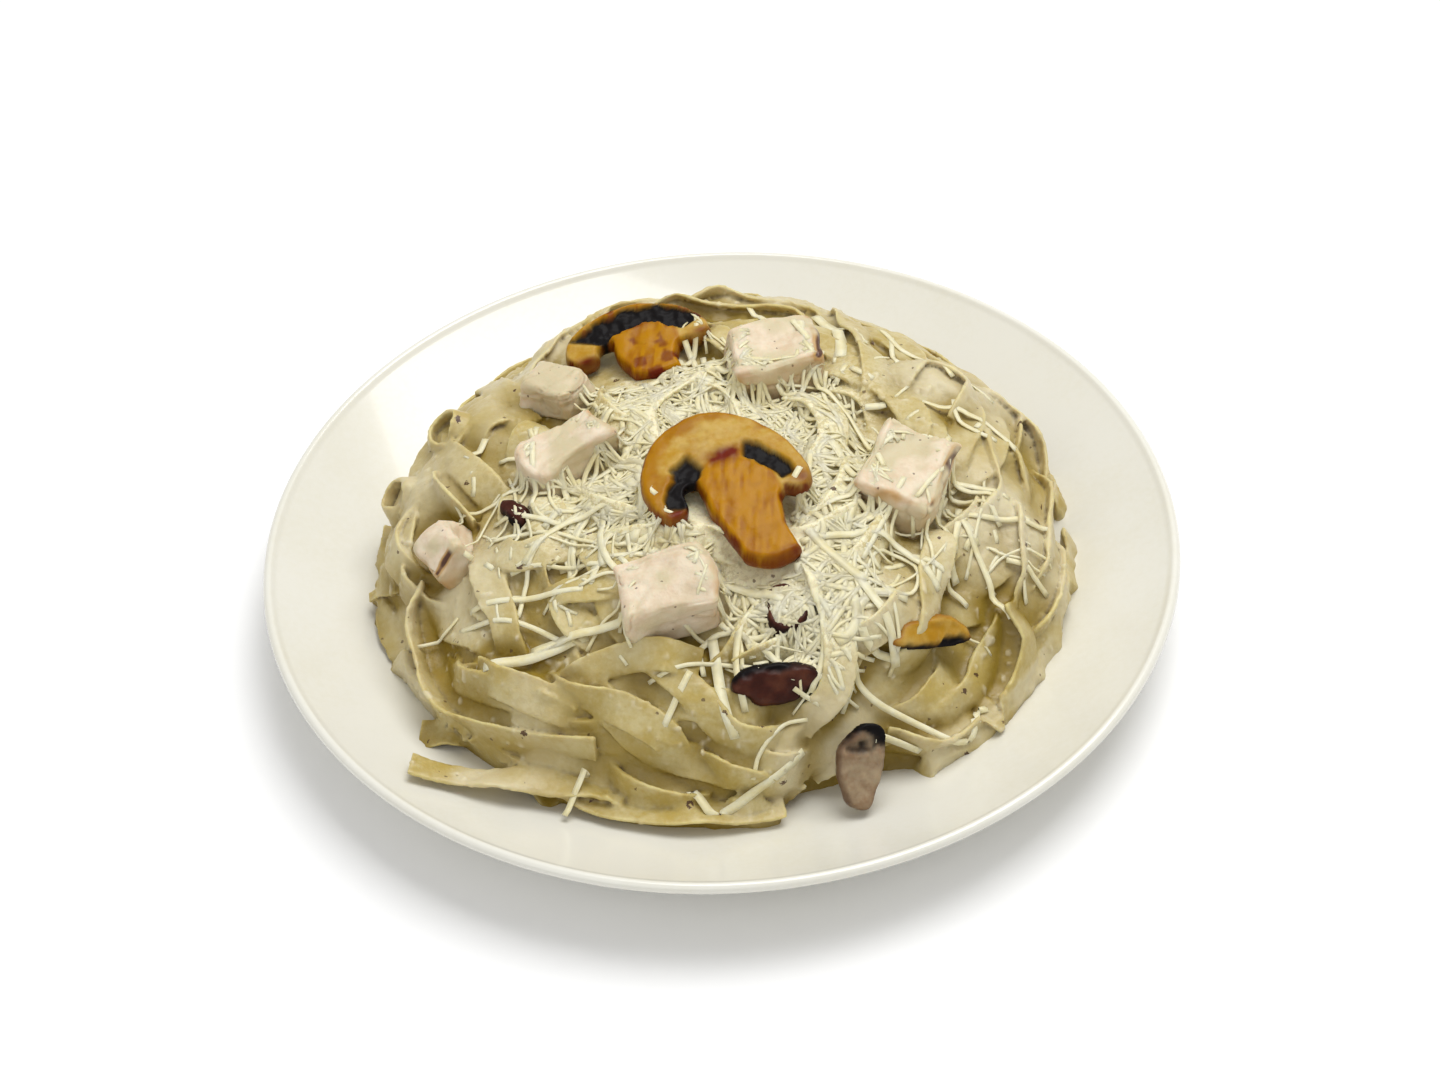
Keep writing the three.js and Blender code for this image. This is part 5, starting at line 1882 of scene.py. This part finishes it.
class PlateOfPasta:
    """Builds all pieces, hides the CAD nodes that they stand for and ties each piece to the root body."""

    def __init__(self) -> None:
        """Prepare the shared effects and the heap."""
        self.effects = SharedEffects()
        self.heap = PastaHeap()
        self.surface = HeapSurface()
        self.relief = Relief(self.heap.depth)

    def finished(self, piece: Piece, material: Material, slot: str, *nodes: str) -> None:
        """Give a piece its material and body, and hide the CAD nodes that it stands for."""
        piece.data.materials.append(material)
        if nodes:
            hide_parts(*nodes)
        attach(piece, "root")

    def build(self) -> None:
        """Build everything."""
        layer = self.heap.lay(self.surface, self.relief)
        pasta = CoatedPasta().build(self.surface, self.relief, layer)
        meat = [die.build(self.surface) for die in CHICKEN]
        slices = [piece.build(self.surface) for piece in MUSHROOMS]
        self._look_again([pasta, *meat, *slices])
        layers = CheeseShreds().strew(self.surface, self.relief)
        shreds = [shred.builder.build(name)
                  for shred, name in zip(layers, ("cheese_strands", "cheese_crumbs"))]
        plate = PlateBuilder().build()
        self._finish(pasta, meat, slices, shreds, plate)

    def _look_again(self, pieces: list[Piece]) -> None:
        """Set the relief to what is really there, toppings and sauce included."""
        places = self.relief.places
        near = np.hypot(places[:, 0], places[:, 1]) < FOOD_REACH
        found = np.full(len(places), 0.0)
        found[near] = Caster(pieces).lifts(self.surface, places[near], 30.0, found[near])
        self.relief.lift = found.reshape(self.relief.lift.shape)

    def _finish(self, pasta: Piece, meat: list[Piece],
                slices: list[Piece], shreds: list[Piece],
                plate: Piece) -> None:
        """Hand out the finishes."""
        self.finished(plate, GlazeFinish().make(self.effects), "plate_glaze", "plate")
        self.finished(pasta, PastaFinish().make(self.effects), "pasta", "pasta")
        cheese = CheeseFinish().make(self.effects)
        for piece in shreds:
            self.finished(piece, cheese, "pasta")
        chicken = ChickenFinish().make(self.effects)
        for die, piece in zip(CHICKEN, meat):
            self.finished(piece, chicken, "chicken", die.node)
        fried = MushroomFinish().make(self.effects)
        grey = MushroomFinish(
            "grey_mushroom", flesh=(176, 158, 128), golden=(146, 120, 92), amber=(112, 80, 60),
            streak=(64, 40, 38), skin=(92, 62, 48), rim=(66, 34, 24)).make(self.effects)
        dark = MushroomFinish(
            "dark_mushroom", flesh=(120, 72, 48), golden=(86, 46, 30), amber=(76, 38, 26),
            streak=(44, 18, 14), skin=(62, 28, 22), rim=(40, 16, 12)).make(self.effects)
        for own, piece in zip(MUSHROOMS, slices):
            long = own.cut is Cut.LONG
            finish = fried if long or own.dark < 0.25 else grey if own.dark < 0.5 else dark
            self.finished(piece, finish, "fried_mushroom" if long else "dark_mushroom", own.node)


def write_sizes() -> None:
    """Bring the view layer up to date."""
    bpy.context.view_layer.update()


def main() -> None:
    """Build the object and its stage."""
    logging.basicConfig(level=logging.INFO, format="%(name)s: %(message)s")
    PlateOfPasta().build()
    Studio().build()
    write_sizes()


if __name__ == "__main__":
    main()
